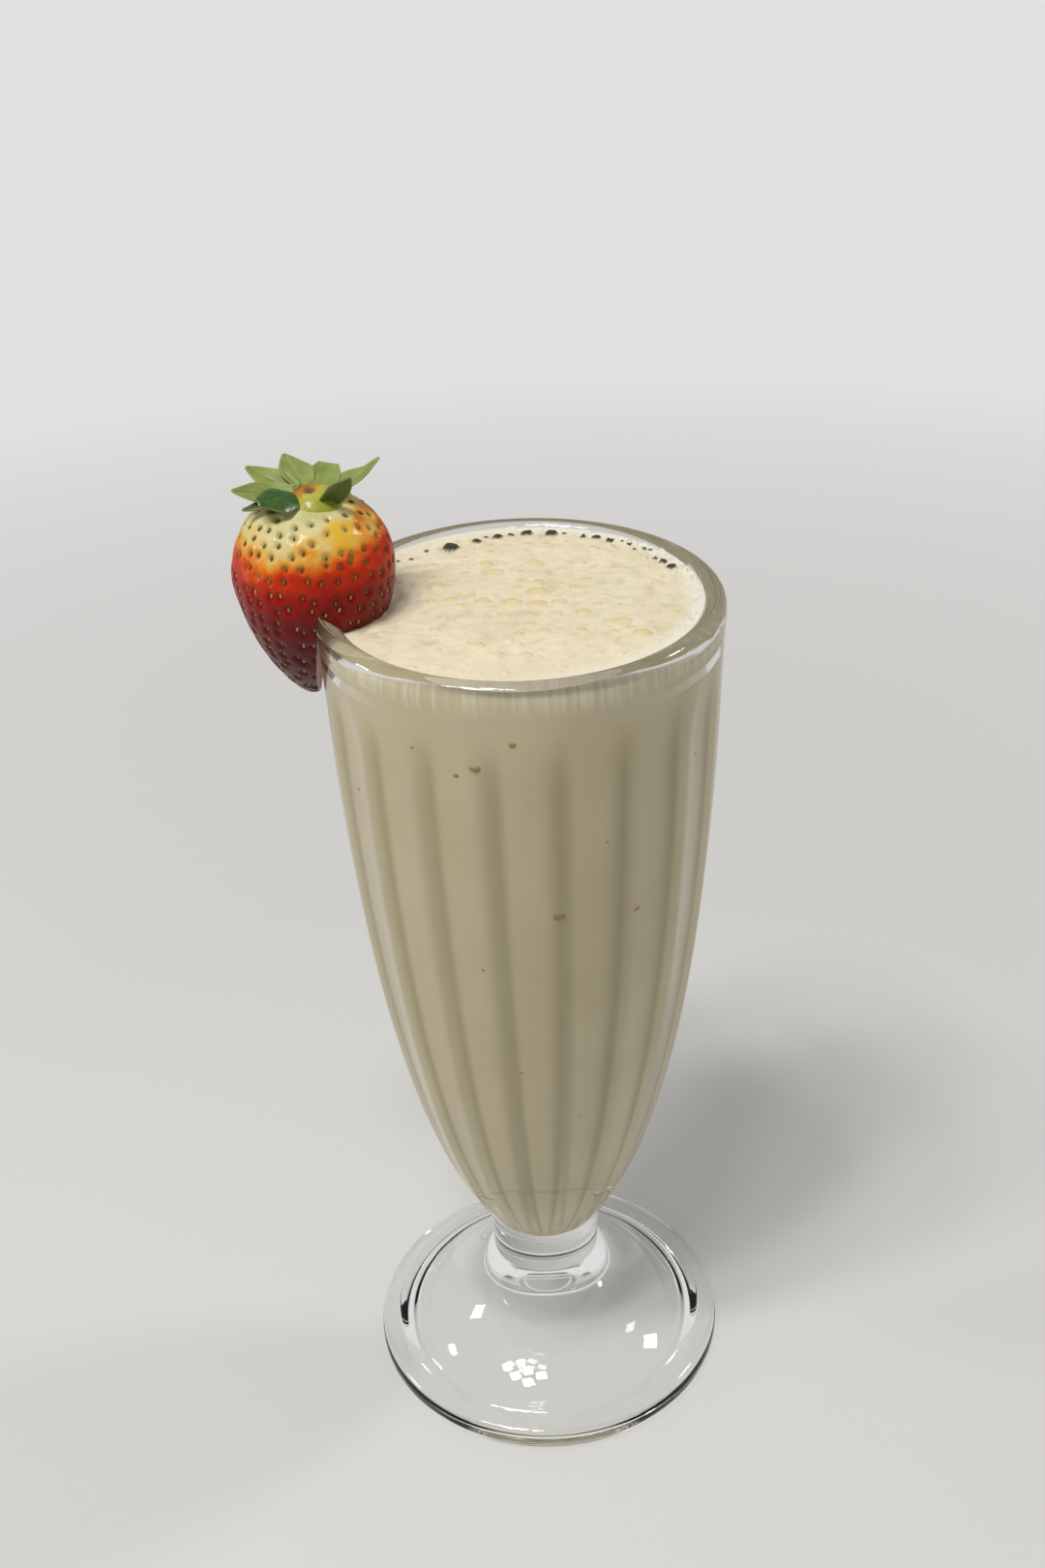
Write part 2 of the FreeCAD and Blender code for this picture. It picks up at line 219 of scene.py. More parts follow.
def push(piece: Piece, amounts: np.ndarray, direction: str = "NORMAL") -> None:
    """Moves vertices outwards or inwards, through painted weights and applied displacement.

    Args:
        piece: The mesh to shape.
        amounts: How far each vertex moves, in millimetres, in the order of the vertices.
        direction: The displacement's direction, such as NORMAL or Z.
    """
    for sign in (1.0, -1.0):
        wanted = np.clip(amounts * sign, 0, None)
        most = float(wanted.max())
        if most <= 0:
            continue
        group = piece.vertex_groups.new(name="push")
        for index in np.nonzero(wanted)[0]:
            group.add([int(index)], float(wanted[index] / most), "REPLACE")
        apply_modifier(piece, "DISPLACE", vertex_group=group.name, mid_level=0.0,
                       strength=sign * most * MM, direction=direction)
        piece.vertex_groups.remove(piece.vertex_groups["push"])


def paint(piece: Piece, name: str, values: np.ndarray) -> None:
    """Stores one number for each vertex, for a material to read by name."""
    layer = piece.data.attributes.new(name=name, type="FLOAT", domain="POINT")
    layer.data.foreach_set("value", np.asarray(values, dtype=np.float32))


def smooth(piece: Piece, angle: float) -> None:
    """Shades a piece smooth, with edges sharper than an angle left crisp."""
    focus(piece)
    bpy.ops.object.shade_smooth_by_angle(angle=math.radians(angle))


def join(parts: Sequence[Piece], name: str) -> Piece:
    """Joins meshes into one piece.

    Args:
        parts: The meshes; the first takes in the others.
        name: Name of the whole.

    Returns:
        The joined piece.
    """
    deselect()
    for part in parts:
        part.select_set(True)
    bpy.context.view_layer.objects.active = parts[0]
    bpy.ops.object.join()
    return name_piece(name)


def settle(piece: Piece) -> None:
    """Applies a piece's place, turn and scale to its mesh."""
    focus(piece)
    bpy.ops.object.transform_apply(location=True, rotation=True, scale=True)


def arc_stations(a: Station, b: Station, c: Station, count: int) -> list[Station]:
    """Points of the arc from a through b to c, evenly spaced, both ends included.

    Args:
        a: First end.
        b: A point on the way.
        c: Last end.
        count: Number of points.

    Returns:
        The points, in order.
    """
    (ax, ay), (bx, by), (cx, cy) = a, b, c
    d = 2 * (ax * (by - cy) + bx * (cy - ay) + cx * (ay - by))
    aa, bb, cc = ax * ax + ay * ay, bx * bx + by * by, cx * cx + cy * cy
    ux = (aa * (by - cy) + bb * (cy - ay) + cc * (ay - by)) / d
    uy = (aa * (cx - bx) + bb * (ax - cx) + cc * (bx - ax)) / d
    radius = math.hypot(ax - ux, ay - uy)
    turns = [math.atan2(y - uy, x - ux) for x, y in (a, b, c)]
    sweep = (turns[2] - turns[0]) % (2 * math.pi)
    if (turns[1] - turns[0]) % (2 * math.pi) > sweep:
        sweep -= 2 * math.pi
    angles = [turns[0] + sweep * i / (count - 1) for i in range(count)]
    return [(ux + radius * math.cos(t), uy + radius * math.sin(t)) for t in angles]


def dome_stations(radius: float, height: float, top: float, count: int) -> list[Station]:
    """Points of a dome centred on the axis, from near its top out to its rim.

    Args:
        radius: Radius of the rim.
        height: Height of the dome, negative where it hangs down.
        top: Height of its middle.
        count: Number of points.

    Returns:
        The points, without the one on the axis.
    """
    sphere = (radius ** 2 + height ** 2) / (2 * height)
    edge = math.asin(min(1.0, radius / abs(sphere)))
    turns = [edge * (i + 1) / count for i in range(count)]
    return [(abs(sphere) * math.sin(t), top - sphere + sphere * math.cos(t)) for t in turns]


def spread(low: float, high: float, count: int, crowding: float = 1.0) -> list[float]:
    """Numbers from low to high, closer together near low where crowding is over 1."""
    return [low + (high - low) * (i / (count - 1)) ** crowding for i in range(count)]


def hump(distance: np.ndarray, radius: float) -> np.ndarray:
    """A round bump of height 1 that ends smoothly at a radius."""
    share = np.clip(1 - (distance / radius) ** 2, 0, 1)
    return share * share * (3 - 2 * share)


def noise_at(points: np.ndarray, size: float, shift: float = 0.0) -> np.ndarray:
    """Smooth noise from -1 to 1 at points, with features of about a size in millimetres."""
    return np.array([noise.noise(Vector(p) / size + Vector((shift, shift, shift))) for p in points])


# ------------------------------------------------------------------ finishes

def new_material(name: str, **settings: object) -> tuple[Material, Tree, Node]:
    """Starts a node material.

    Args:
        name: The material's name.
        settings: Values for the shader's sockets, with underscores for the spaces in their names.

    Returns:
        The material, its node tree and its principled shader.
    """
    material = bpy.data.materials.new(name)
    material.use_nodes = True
    tree = material.node_tree
    shader = tree.nodes["Principled BSDF"]
    for key, value in settings.items():
        shader.inputs[key.replace("_", " ")].default_value = value
    return material, tree, shader


def add_node(tree: Tree, kind: str, **settings: object) -> Node:
    """Adds a node and sets its properties, or its inputs where the name is one of theirs.

    Args:
        tree: The node tree to add to.
        kind: The type of node.
        settings: Properties or inputs, with underscores for spaces.

    Returns:
        The node.
    """
    node = tree.nodes.new(kind)
    for key, value in settings.items():
        if hasattr(node, key):
            setattr(node, key, value)
        else:
            node.inputs[key.replace("_", " ")].default_value = value
    return node


def object_noise(tree: Tree, scale: float, detail: float) -> Socket:
    """Noise fixed to the piece; scale is in features per metre.

    Args:
        tree: The node tree to add to.
        scale: Features per metre.
        detail: How much finer noise is laid over it.

    Returns:
        The noise, from 0 to 1.
    """
    where = add_node(tree, "ShaderNodeTexCoord")
    texture = add_node(tree, "ShaderNodeTexNoise", Scale=scale, Detail=detail)
    tree.links.new(where.outputs["Object"], texture.inputs["Vector"])
    return texture.outputs["Fac"]


def painted(tree: Tree, name: str) -> Socket:
    """The painted number of that name."""
    return add_node(tree, "ShaderNodeAttribute", attribute_name=name).outputs["Fac"]


def combine(tree: Tree, operation: str, first: Socket, second: Socket) -> Socket:
    """Works out one number from two.

    Args:
        tree: The node tree to add to.
        operation: The sum, such as ADD or MAXIMUM.
        first: One number.
        second: The other.

    Returns:
        The result.
    """
    node = add_node(tree, "ShaderNodeMath", operation=operation)
    tree.links.new(first, node.inputs[0])
    tree.links.new(second, node.inputs[1])
    return node.outputs[0]


def ramp(tree: Tree, source: Socket, stops: Stops) -> Socket:
    """A colour ramp driven by a number.

    Args:
        tree: The node tree to add to.
        source: The number that drives it.
        stops: Position and colour of each stop.

    Returns:
        The colour.
    """
    node = add_node(tree, "ShaderNodeValToRGB")
    elements = node.color_ramp.elements
    while len(elements) < len(stops):
        elements.new(0.5)
    for element, (position, colour) in zip(elements, stops):
        element.position = position
        element.color = (*colour, 1)
    tree.links.new(source, node.inputs["Fac"])
    return node.outputs["Color"]


def blend(tree: Tree, amount: Socket, first: Socket | Colour, second: Socket | Colour) -> Socket:
    """Mixes two colours, each a socket or a plain colour.

    Args:
        tree: The node tree to add to.
        amount: Share of the second colour.
        first: The colour at 0.
        second: The colour at 1.

    Returns:
        The mixed colour.
    """
    node = add_node(tree, "ShaderNodeMix", data_type="RGBA")
    tree.links.new(amount, node.inputs[0])
    for socket, value in zip((node.inputs[6], node.inputs[7]), (first, second)):
        if isinstance(value, Socket):
            tree.links.new(value, socket)
        else:
            socket.default_value = (*value, 1)
    return node.outputs[2]


def layered(tree: Tree, base: Socket, **layers: Colour) -> Socket:
    """Lays colours over a base, each as far as the painted number of its name says.

    Args:
        tree: The node tree to add to.
        base: The colour underneath.
        layers: The colour of each layer, under the name of its painted number.

    Returns:
        The colour with all layers on.
    """
    for name, colour in layers.items():
        base = blend(tree, painted(tree, name), base, colour)
    return base


def stretch(tree: Tree, source: Socket, low: float, high: float,
            to_low: float = 0.0, to_high: float = 1.0) -> Socket:
    """Maps a number from one range to another, clamped.

    Args:
        tree: The node tree to add to.
        source: The number to map.
        low: What becomes to_low.
        high: What becomes to_high.
        to_low: Result at low.
        to_high: Result at high.

    Returns:
        The mapped number.
    """
    node = add_node(tree, "ShaderNodeMapRange")
    for key, value in zip((1, 2, 3, 4), (low, high, to_low, to_high)):
        node.inputs[key].default_value = value
    tree.links.new(source, node.inputs[0])
    return node.outputs[0]


def seen_directly(tree: Tree, amount: Socket) -> Socket:
    """An amount that counts only for the camera and through glass.

    Args:
        tree: The node tree to add to.
        amount: The amount where it counts.

    Returns:
        The amount, and 0 for all other light.
    """
    rays = add_node(tree, "ShaderNodeLightPath").outputs
    seen = combine(tree, "MAXIMUM", rays["Is Camera Ray"], rays["Is Transmission Ray"])
    return combine(tree, "MULTIPLY", seen, amount)


def relief(tree: Tree, shader: Node, height: Socket, strength: float, distance: float) -> None:
    """Gives a shader fine relief from a height.

    Args:
        tree: The node tree to add to.
        shader: The shader that gets the relief.
        height: Height of the relief.
        strength: Share of the relief that shows.
        distance: Depth of the relief in metres.
    """
    node = add_node(tree, "ShaderNodeBump", Strength=strength, Distance=distance)
    tree.links.new(height, node.inputs["Height"])
    tree.links.new(node.outputs["Normal"], shader.inputs["Normal"])


def mix_shaders(tree: Tree, amount: Socket, first: Node, second: Node) -> None:
    """Makes a mix of two shaders the material's surface.

    Args:
        tree: The node tree to add to.
        amount: Share of the second shader.
        first: The shader at 0.
        second: The shader at 1.
    """
    both = add_node(tree, "ShaderNodeMixShader")
    for socket, source in zip(both.inputs, (amount, first.outputs[0], second.outputs[0])):
        tree.links.new(source, socket)
    tree.links.new(both.outputs[0], tree.nodes["Material Output"].inputs["Surface"])


@dataclass(frozen=True)
class ClearGlass:
    """Pressed clear glass with a faint waviness."""

    name: str = "clear_glass"
    colour: Colour = (0.985, 0.99, 0.985)
    shade: Colour = (0.94, 0.945, 0.94)

    def make(self) -> Material:
        """Builds the material; light falls straight through it on what it holds.

        Returns:
            The material.
        """
        material, tree, shader = new_material(
            self.name, Base_Color=(*self.colour, 1), Roughness=0.015, IOR=1.5,
            Transmission_Weight=1.0)
        relief(tree, shader, object_noise(tree, 90.0, 1.0), 0.03, 0.002)
        clear = add_node(tree, "ShaderNodeBsdfTransparent", Color=(*self.shade, 1))
        rays = add_node(tree, "ShaderNodeLightPath").outputs
        lighting = combine(tree, "MAXIMUM", rays["Is Shadow Ray"], rays["Is Diffuse Ray"])
        mix_shaders(tree, lighting, shader, clear)
        return material


@dataclass(frozen=True)
class Shake:
    """The drink below its froth: pale banana cream with painted shade at the ridges, streaked at
    the lip.
    """

    name: str = "banana_milkshake"
    colour: Colour = (0.62, 0.54, 0.345)
    deep: Colour = (0.57, 0.49, 0.30)
    # painted shade that the ridges of the glass throw on the drink
    band: Colour = (0.385, 0.335, 0.185)
    streak: Colour = (0.80, 0.75, 0.60)

    def make(self) -> Material:
        """Builds the material.

        Returns:
            The material.
        """
        material, tree, shader = new_material(
            self.name, Roughness=0.5, IOR=1.36, Subsurface_Weight=0.15,
            Subsurface_Radius=(0.003, 0.0028, 0.0022), Subsurface_Scale=0.6)
        mottled = stretch(tree, object_noise(tree, 55.0, 4.0), 0.35, 0.7)
        plain = blend(tree, mottled, self.colour, self.deep)
        tree.links.new(layered(tree, plain, band=self.band, streak=self.streak),
                       shader.inputs["Base Color"])
        return material


@dataclass(frozen=True)
class FrothFinish:
    """The froth: cream white with painted shade in its soft dents and behind its bubbles, pale
    yellow bubble windows and clear bubbles painted dark for the shade seen through them.
    """

    name: str = "froth"
    cream: Colour = (0.81, 0.725, 0.54)
    shade: Colour = (0.76, 0.675, 0.485)
    # painted shade in the dents and on the back rims of the bubbles
    hollow: Colour = (0.575, 0.505, 0.315)
    window: Colour = (0.76, 0.635, 0.33)
    foam: Colour = (0.84, 0.80, 0.70)
    # painted shade seen through the clear bubbles
    clear: Colour = (0.045, 0.05, 0.03)

    def make(self) -> Material:
        """Builds the material, glossy at the bubbles.

        Returns:
            The material.
        """
        material, tree, shader = new_material(
            self.name, IOR=1.36, Subsurface_Weight=0.12,
            Subsurface_Radius=(0.002, 0.0018, 0.0015), Subsurface_Scale=0.6)
        mottled = stretch(tree, object_noise(tree, 140.0, 5.0), 0.38, 0.68)
        base = blend(tree, mottled, self.cream, self.shade)
        tree.links.new(layered(tree, base, foam=self.foam, hollow=self.hollow,
                               window=self.window, clear=self.clear),
                       shader.inputs["Base Color"])
        wet = combine(tree, "MAXIMUM", painted(tree, "window"), painted(tree, "clear"))
        tree.links.new(stretch(tree, wet, 0.0, 1.0, 0.6, 0.12), shader.inputs["Roughness"])
        cells = add_node(tree, "ShaderNodeTexVoronoi", Scale=1500.0)
        where = add_node(tree, "ShaderNodeTexCoord")
        tree.links.new(where.outputs["Object"], cells.inputs["Vector"])
        relief(tree, shader, cells.outputs["Distance"], 0.22, 0.0003)
        return material


@dataclass(frozen=True)
class BerrySkin:
    """Wet strawberry skin, from a pale shoulder through gold to deep red, with painted shade
    darkening it to near black towards the tip and in the seed dimples.
    """

    name: str = "strawberry_skin"
    gold: Colour = (0.74, 0.46, 0.035)
    # colours up the berry: its own colours, with the lowest stops darkened as painted shade towards
    # the tip
    skin_and_tip_shade_stops: Stops = (
        (0.00, (0.045, 0.001, 0.001)),
        (0.35, (0.10, 0.002, 0.002)),
        (0.55, (0.19, 0.003, 0.002)),
        (0.70, (0.34, 0.007, 0.003)),
        (0.79, (0.58, 0.035, 0.005)),
        (0.835, (0.72, 0.15, 0.012)),
        (0.875, (0.73, 0.37, 0.05)),
        (0.915, (0.72, 0.54, 0.20)),
        (0.96, (0.70, 0.62, 0.33)),
        (1.00, (0.60, 0.57, 0.25)),
    )
    # painted shade in the seed dimples, darkest towards the tip
    pit_shade_stops: Stops = (
        (0.00, (0.04, 0.001, 0.001)),
        (0.70, (0.17, 0.004, 0.002)),
        (0.84, (0.34, 0.06, 0.004)),
        (0.92, (0.44, 0.34, 0.08)),
        (1.00, (0.36, 0.31, 0.09)),
    )

    def make(self) -> Material:
        """Builds the material from the painted height share, whose low end is painted shade towards
        the tip, a streaky noise and the painted shade of the seed dimples.

        Returns:
            The material.
        """
        material, tree, shader = new_material(
            self.name, Roughness=0.34, IOR=1.34, Specular_IOR_Level=0.16, Coat_Weight=0.2,
            Coat_Roughness=0.035, Subsurface_Weight=0.06,
            Subsurface_Radius=(0.003, 0.0008, 0.0005), Subsurface_Scale=0.5)
        wander = stretch(tree, object_noise(tree, 210.0, 4.0), 0.3, 0.7, -0.05, 0.05)
        level = combine(tree, "ADD", painted(tree, "level"), wander)
        gilded = layered(tree, ramp(tree, level, self.skin_and_tip_shade_stops), gold=self.gold)
        pitted = blend(tree, painted(tree, "pit_shade"), gilded, ramp(tree, level, self.pit_shade_stops))
        tree.links.new(pitted, shader.inputs["Base Color"])
        relief(tree, shader, object_noise(tree, 900.0, 2.0), 0.16, 0.0004)
        return material


@dataclass(frozen=True)
class Mottled:
    """A finish of two colours that a fine noise mixes, with relief from the same noise."""

    name: str
    first: Colour
    second: Colour
    roughness: float
    scale: float
    detail: float = 2.0
    contrast: Station = (0.0, 1.0)
    bump: float = 0.0
    bump_depth: float = 0.0003

    def make(self) -> Material:
        """Builds the material.

        Returns:
            The material.
        """
        material, tree, shader = new_material(self.name, Roughness=self.roughness)
        clouds = object_noise(tree, self.scale, self.detail)
        mixed = blend(tree, stretch(tree, clouds, *self.contrast), self.first, self.second)
        tree.links.new(mixed, shader.inputs["Base Color"])
        if self.bump:
            relief(tree, shader, clouds, self.bump, self.bump_depth)
        return material


BERRY_FLESH = Mottled("strawberry_flesh", (0.42, 0.02, 0.015), (0.62, 0.16, 0.10), 0.3, 260.0,
                      detail=4.0, contrast=(0.35, 0.7), bump=0.25, bump_depth=0.0005)
FOAM_DAB = Mottled("foam_dab", (0.84, 0.81, 0.72), (0.84, 0.81, 0.72), 0.6, 1500.0, bump=0.4)
BANANA_SPECK = Mottled("banana_speck", (0.40, 0.25, 0.05), (0.27, 0.16, 0.03), 0.5, 900.0)


@dataclass(frozen=True)
class SeedFinish:
    """Strawberry seeds, from olive to straw, darker in the pale shoulder."""

    name: str = "strawberry_seed"
    stops: Stops = (
        (0.0, (0.07, 0.06, 0.010)),
        (0.4, (0.19, 0.15, 0.015)),
        (0.7, (0.40, 0.27, 0.03)),
        (1.0, (0.55, 0.40, 0.07)),
    )

    def make(self) -> Material:
        """Builds the material from the painted tone of each seed.

        Returns:
            The material.
        """
        material, tree, shader = new_material(self.name, Roughness=0.3, Coat_Weight=0.3)
        tree.links.new(ramp(tree, painted(tree, "tone"), self.stops), shader.inputs["Base Color"])
        return material


@dataclass(frozen=True)
class LeafFinish:
    """Strawberry leaves: lit yellow green inside, darker and glossy where they face forward, the
    dark partly their own green and partly painted shade.
    """

    name: str = "strawberry_leaf"
    light: tuple[Colour, Colour] = ((0.265, 0.33, 0.075), (0.18, 0.245, 0.048))
    dark: tuple[Colour, Colour] = ((0.018, 0.085, 0.008), (0.06, 0.125, 0.018))
    edge: Colour = (0.42, 0.36, 0.16)

    def make(self) -> Material:
        """Builds the material from the painted tone and the veins' relief.

        Returns:
            The material.
        """
        material, tree, shader = new_material(
            self.name, Subsurface_Weight=0.1, Subsurface_Radius=(0.001, 0.0015, 0.0004))
        mottled = stretch(tree, object_noise(tree, 420.0, 3.0), 0.35, 0.7)
        light, dark = blend(tree, mottled, *self.light), blend(tree, mottled, *self.dark)
        # tone mixes a lit yellow green and a dark green: partly the leaves' own colour, partly
        # painted shade
        toned = blend(tree, painted(tree, "tone"), light, dark)
        tree.links.new(layered(tree, toned, edge=self.edge), shader.inputs["Base Color"])
        shine = stretch(tree, painted(tree, "tone"), 0.0, 1.0, 0.5, 0.22)
        tree.links.new(shine, shader.inputs["Roughness"])
        relief(tree, shader, painted(tree, "vein"), 0.5, 0.0003)
        return material


@dataclass(frozen=True)
class ScarFinish:
    """The round scar of the stalk: green to orange brown, with a dark heart and specks."""

    name: str = "stalk_scar"
    heart: Colour = (0.13, 0.07, 0.02)
    stops: Stops = (
        (0.0, (0.34, 0.40, 0.045)),
        (0.35, (0.50, 0.44, 0.06)),
        (0.6, (0.48, 0.22, 0.022)),
        (1.0, (0.27, 0.08, 0.012)),
    )

    def make(self) -> Material:
        """Builds the material from the painted ripeness and a noise.

        Returns:
            The material.
        """
        material, tree, shader = new_material(self.name, Roughness=0.3)
        clouds = object_noise(tree, 260.0, 4.0)
        wander = stretch(tree, clouds, 0.3, 0.7, -0.3, 0.3)
        base = ramp(tree, combine(tree, "ADD", painted(tree, "ripe"), wander), self.stops)
        tree.links.new(layered(tree, base, heart=self.heart), shader.inputs["Base Color"])
        relief(tree, shader, clouds, 0.3, 0.0006)
        return material


@dataclass(frozen=True)
class FloorFinish:
    """Plain pale studio floor."""

    name: str = "studio_floor"
    colour: Colour = (0.76, 0.755, 0.745)
    near: float = 0.20
    far: float = 0.75

    def make(self) -> Material:
        """Builds the material: it takes shadows near the glass and is even pale further off.

        Returns:
            The material.
        """
        material, tree, shader = new_material(
            self.name, Base_Color=(*self.colour, 1), Roughness=0.8, Specular_IOR_Level=0.1)
        where = add_node(tree, "ShaderNodeTexCoord")
        length = add_node(tree, "ShaderNodeVectorMath", operation="LENGTH")
        tree.links.new(where.outputs["Object"], length.inputs[0])
        away = stretch(tree, length.outputs["Value"], self.near, self.far)
        even = add_node(tree, "ShaderNodeEmission", Color=(*self.colour, 1), Strength=1.0)
        mix_shaders(tree, seen_directly(tree, away), shader, even)
        return material


def dress(piece: Piece, *finishes: Material) -> None:
    """Gives a piece its materials, in order.

    Args:
        piece: The mesh to dress.
        finishes: Its materials, in the order of their slots.
    """
    piece.data.materials.clear()
    for finish in finishes:
        piece.data.materials.append(finish)


# ------------------------------------------------------------------ the glass

@dataclass(frozen=True)
class Bullet:
    """A curve that opens from the axis at low and stands upright at high, in millimetres."""

    low: float
    high: float
    radius: float
    fullness: float
    bluntness: float

    def at(self, z: float) -> float:
        """Radius of the curve at a height."""
        share = min(1.0, max(0.0, (z - self.low) / (self.high - self.low)))
        return self.radius * (1 - (1 - share) ** self.fullness) ** self.bluntness


@dataclass
class FlutedGlass:
    """The footed glass, with a fluted bowl and a hollow bell foot. Sizes in millimetres."""

    height: float = 196.8
    lip_radius: float = 40.0
    lip_thickness: float = 4.6
    lip_band: float = 4.7
    lip_step: float = 0.15
    outside: Bullet = Bullet(30.0, 196.8, 39.85, 2.15, 0.52)
    inside: Bullet = Bullet(37.0, 196.8, 35.6, 2.1, 0.56)
    cavity_dome: float = 2.0
    join_z: float = 40.0
    flutes: int = 18
    flute_hollow: float = 0.085
    ridge_rounding: float = 0.14
    flute_top: float = 187.5
    flute_arch: float = 13.0
    arch_softness: float = 0.10
    flute_foot: float = 41.0
    flute_runout: float = 6.0
    stem_radius: float = 13.6
    neck_radius: float = 12.3
    neck_z: float = 27.5
    bell_mid: Station = (20.8, 15.4)
    bell_edge: Station = (36.4, 6.6)
    foot_radius: float = 41.1
    ring_z: float = 5.6
    widest_z: float = 2.9
    edge_relief: float = 1.6
    landing: float = 4.6
    hollow_top: float = 18.6
    hollow_radius: float = 5.2
    hollow_dome: float = 2.0
    hollow_lip: float = 2.2
    hollow_bevel: float = 1.3
    bell_wall: float = 4.3
    steps_per_flute: int = 18
    finish: ClearGlass = field(default_factory=ClearGlass)

    @property
    def lip_z(self) -> float:
        """Height of the widest part of the lip."""
        return self.height - self.lip_thickness / 2

    @property
    def lip_middle(self) -> float:
        """Radius of the middle of the lip."""
        return self.lip_radius - self.lip_thickness / 2

    def hollow_stations(self) -> list[Station]:
        """The underside, from the top of the hollow out to the landing.

        Returns:
            Radius and height of each ring.
        """
        mouth = self.foot_radius - self.edge_relief - self.landing
        bevel = (mouth - self.hollow_bevel, self.hollow_lip)
        middle = (self.bell_mid[0] - self.bell_wall * 0.7, self.bell_mid[1] - self.bell_wall * 0.72)
        dome_foot = (self.hollow_radius, self.hollow_top - self.hollow_dome)
        crown = dome_stations(self.hollow_radius, self.hollow_dome, self.hollow_top, 8)
        flare = arc_stations(dome_foot, middle, bevel, 22)
        return crown + flare[1:] + [(mouth - 0.25, 0.35), (mouth, 0.04), (mouth + 0.3, 0.0)]

    def foot_stations(self) -> list[Station]:
        """The foot's upper side, from the landing over the ring and bell to the stem.

        Returns:
            Radius and height of each ring.
        """
        toe = (self.foot_radius - self.edge_relief, 0.0)
        toe_middle = (self.foot_radius - self.edge_relief * 0.25, self.widest_z * 0.35)
        widest = (self.foot_radius, self.widest_z)
        step = self.ring_z - self.widest_z
        ring_outer = (self.foot_radius - step * 0.9, self.ring_z)
        ring_middle = (self.foot_radius - step * 0.28, self.widest_z + step * 0.72)
        ring_inner = (self.bell_edge[0] + (self.bell_edge[1] - self.ring_z) * 0.6, self.ring_z)
        neck = (self.neck_radius, self.neck_z)
        under = arc_stations(toe, toe_middle, widest, 8)
        over = arc_stations(widest, ring_middle, ring_outer, 8)
        flare = arc_stations(self.bell_edge, self.bell_mid, neck, 26)
        return ([(toe[0] - 0.5, 0.0)] + under + over[1:]
                + [(ring_inner[0] + 0.3, ring_inner[1]), ring_inner] + flare)

    def stem_stations(self) -> list[Station]:
        """The stem, from the crease at the neck up to the bowl.

        Returns:
            Radius and height of each ring.
        """
        rise = self.join_z + 2.5 - self.neck_z
        top = (self.stem_radius, self.join_z + 2.5)
        middle = (self.neck_radius + (self.stem_radius - self.neck_radius) * 0.4,
                  self.neck_z + rise * 0.55)
        whole = arc_stations((self.neck_radius, self.neck_z), middle, top, 9)
        crease = (self.neck_radius + 0.02, self.neck_z + 0.3)
        return [crease] + [station for station in whole[1:] if station[1] < self.join_z - 0.6]

    def bowl_stations(self) -> list[Station]:
        """The outside of the bowl, up over the rounded lip to its inner edge.

        Returns:
            Radius and height of each ring.
        """
        band_z = self.height - self.lip_band
        heights = spread(self.join_z, band_z - 0.5, 56, 1.12)
        wall = [(self.outside.at(z), z) for z in heights]
        band = [(self.lip_radius - self.lip_step, band_z - 0.08),
                (self.lip_radius - 0.03, band_z + 0.18), (self.lip_radius, band_z + 0.5)]
        outer = (self.lip_radius, self.lip_z)
        crest = (self.lip_middle, self.height)
        inner = (self.lip_radius - self.lip_thickness, self.lip_z)
        return wall + band + arc_stations(outer, crest, inner, 21)

    def inside_stations(self) -> list[Station]:
        """The inside of the bowl, from the lip down to the rounded floor.

        Returns:
            Radius and height of each ring.
        """
        floor = self.inside.low + self.cavity_dome
        heights = spread(floor, self.lip_z, 34, 1.45)[1:-1]
        wall = [(self.inside.at(z), z) for z in heights]
        edge = (self.inside.at(floor), floor)
        bottom = dome_stations(edge[0], -self.cavity_dome, self.inside.low, 6)
        return wall[::-1] + bottom[::-1]

    def across(self, points: np.ndarray) -> np.ndarray:
        """Where points lie across their flute, from -1 on one ridge to 1 on the next.

        Args:
            points: Places in millimetres, one row each.

        Returns:
            The share across the flute, for each point.
        """
        turn = np.arctan2(points[:, 1], points[:, 0]) + math.pi / 2
        return (turn * self.flutes / (2 * math.pi) + 0.5) % 1.0 * 2 - 1

    def fade(self, z: np.ndarray) -> np.ndarray:
        """Share of the full flute depth at heights: in under the lip and out at the stem.

        Args:
            z: Heights in millimetres.

        Returns:
            The share, below 0 where there is no flute.
        """
        above = np.minimum(1, (self.flute_top - z) / self.flute_arch)
        below = np.minimum(1, (z - self.flute_foot) / self.flute_runout)
        return np.maximum(-1, np.minimum(above * (2 - above), below * (2 - below)))

    def depth(self, points: np.ndarray) -> np.ndarray:
        """Depth of the flutes at points on the outside of the bowl.

        Args:
            points: Places in millimetres, one row each.

        Returns:
            The depth for each point, 0 off the bowl.
        """
        z = points[:, 2]
        radius = np.hypot(points[:, 0], points[:, 1])
        pitch_angle = 2 * math.pi / self.flutes
        k = self.ridge_rounding
        from_ridge = 1 - np.abs(self.across(points))
        rounded = (np.hypot(from_ridge, k) - k) / (math.hypot(1, k) - k)
        level = rounded * (2 - rounded) - 1 + self.fade(z)
        share = (level + np.hypot(level, self.arch_softness)) / 2
        outside = np.array([self.outside.at(float(h)) for h in z])
        on_bowl = ((z > self.join_z - 2) & (z < self.height - self.lip_band)
                   & (radius > outside - 1.0))
        return np.where(on_bowl, outside * pitch_angle * self.flute_hollow * share, 0.0)

    def build(self) -> Piece:
        """Models the glass: turned, then fluted.

        Returns:
            The glass.
        """
        stations = (self.hollow_stations() + self.foot_stations() + self.stem_stations()
                    + self.bowl_stations() + self.inside_stations())
        glass = turned("footed_glass", stations, self.flutes * self.steps_per_flute)
        push(glass, -self.depth(places(glass)))
        smooth(glass, 50)
        dress(glass, self.finish.make())
        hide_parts("glass")
        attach(glass, "root")
        return glass


# ------------------------------------------------------------------ the drink

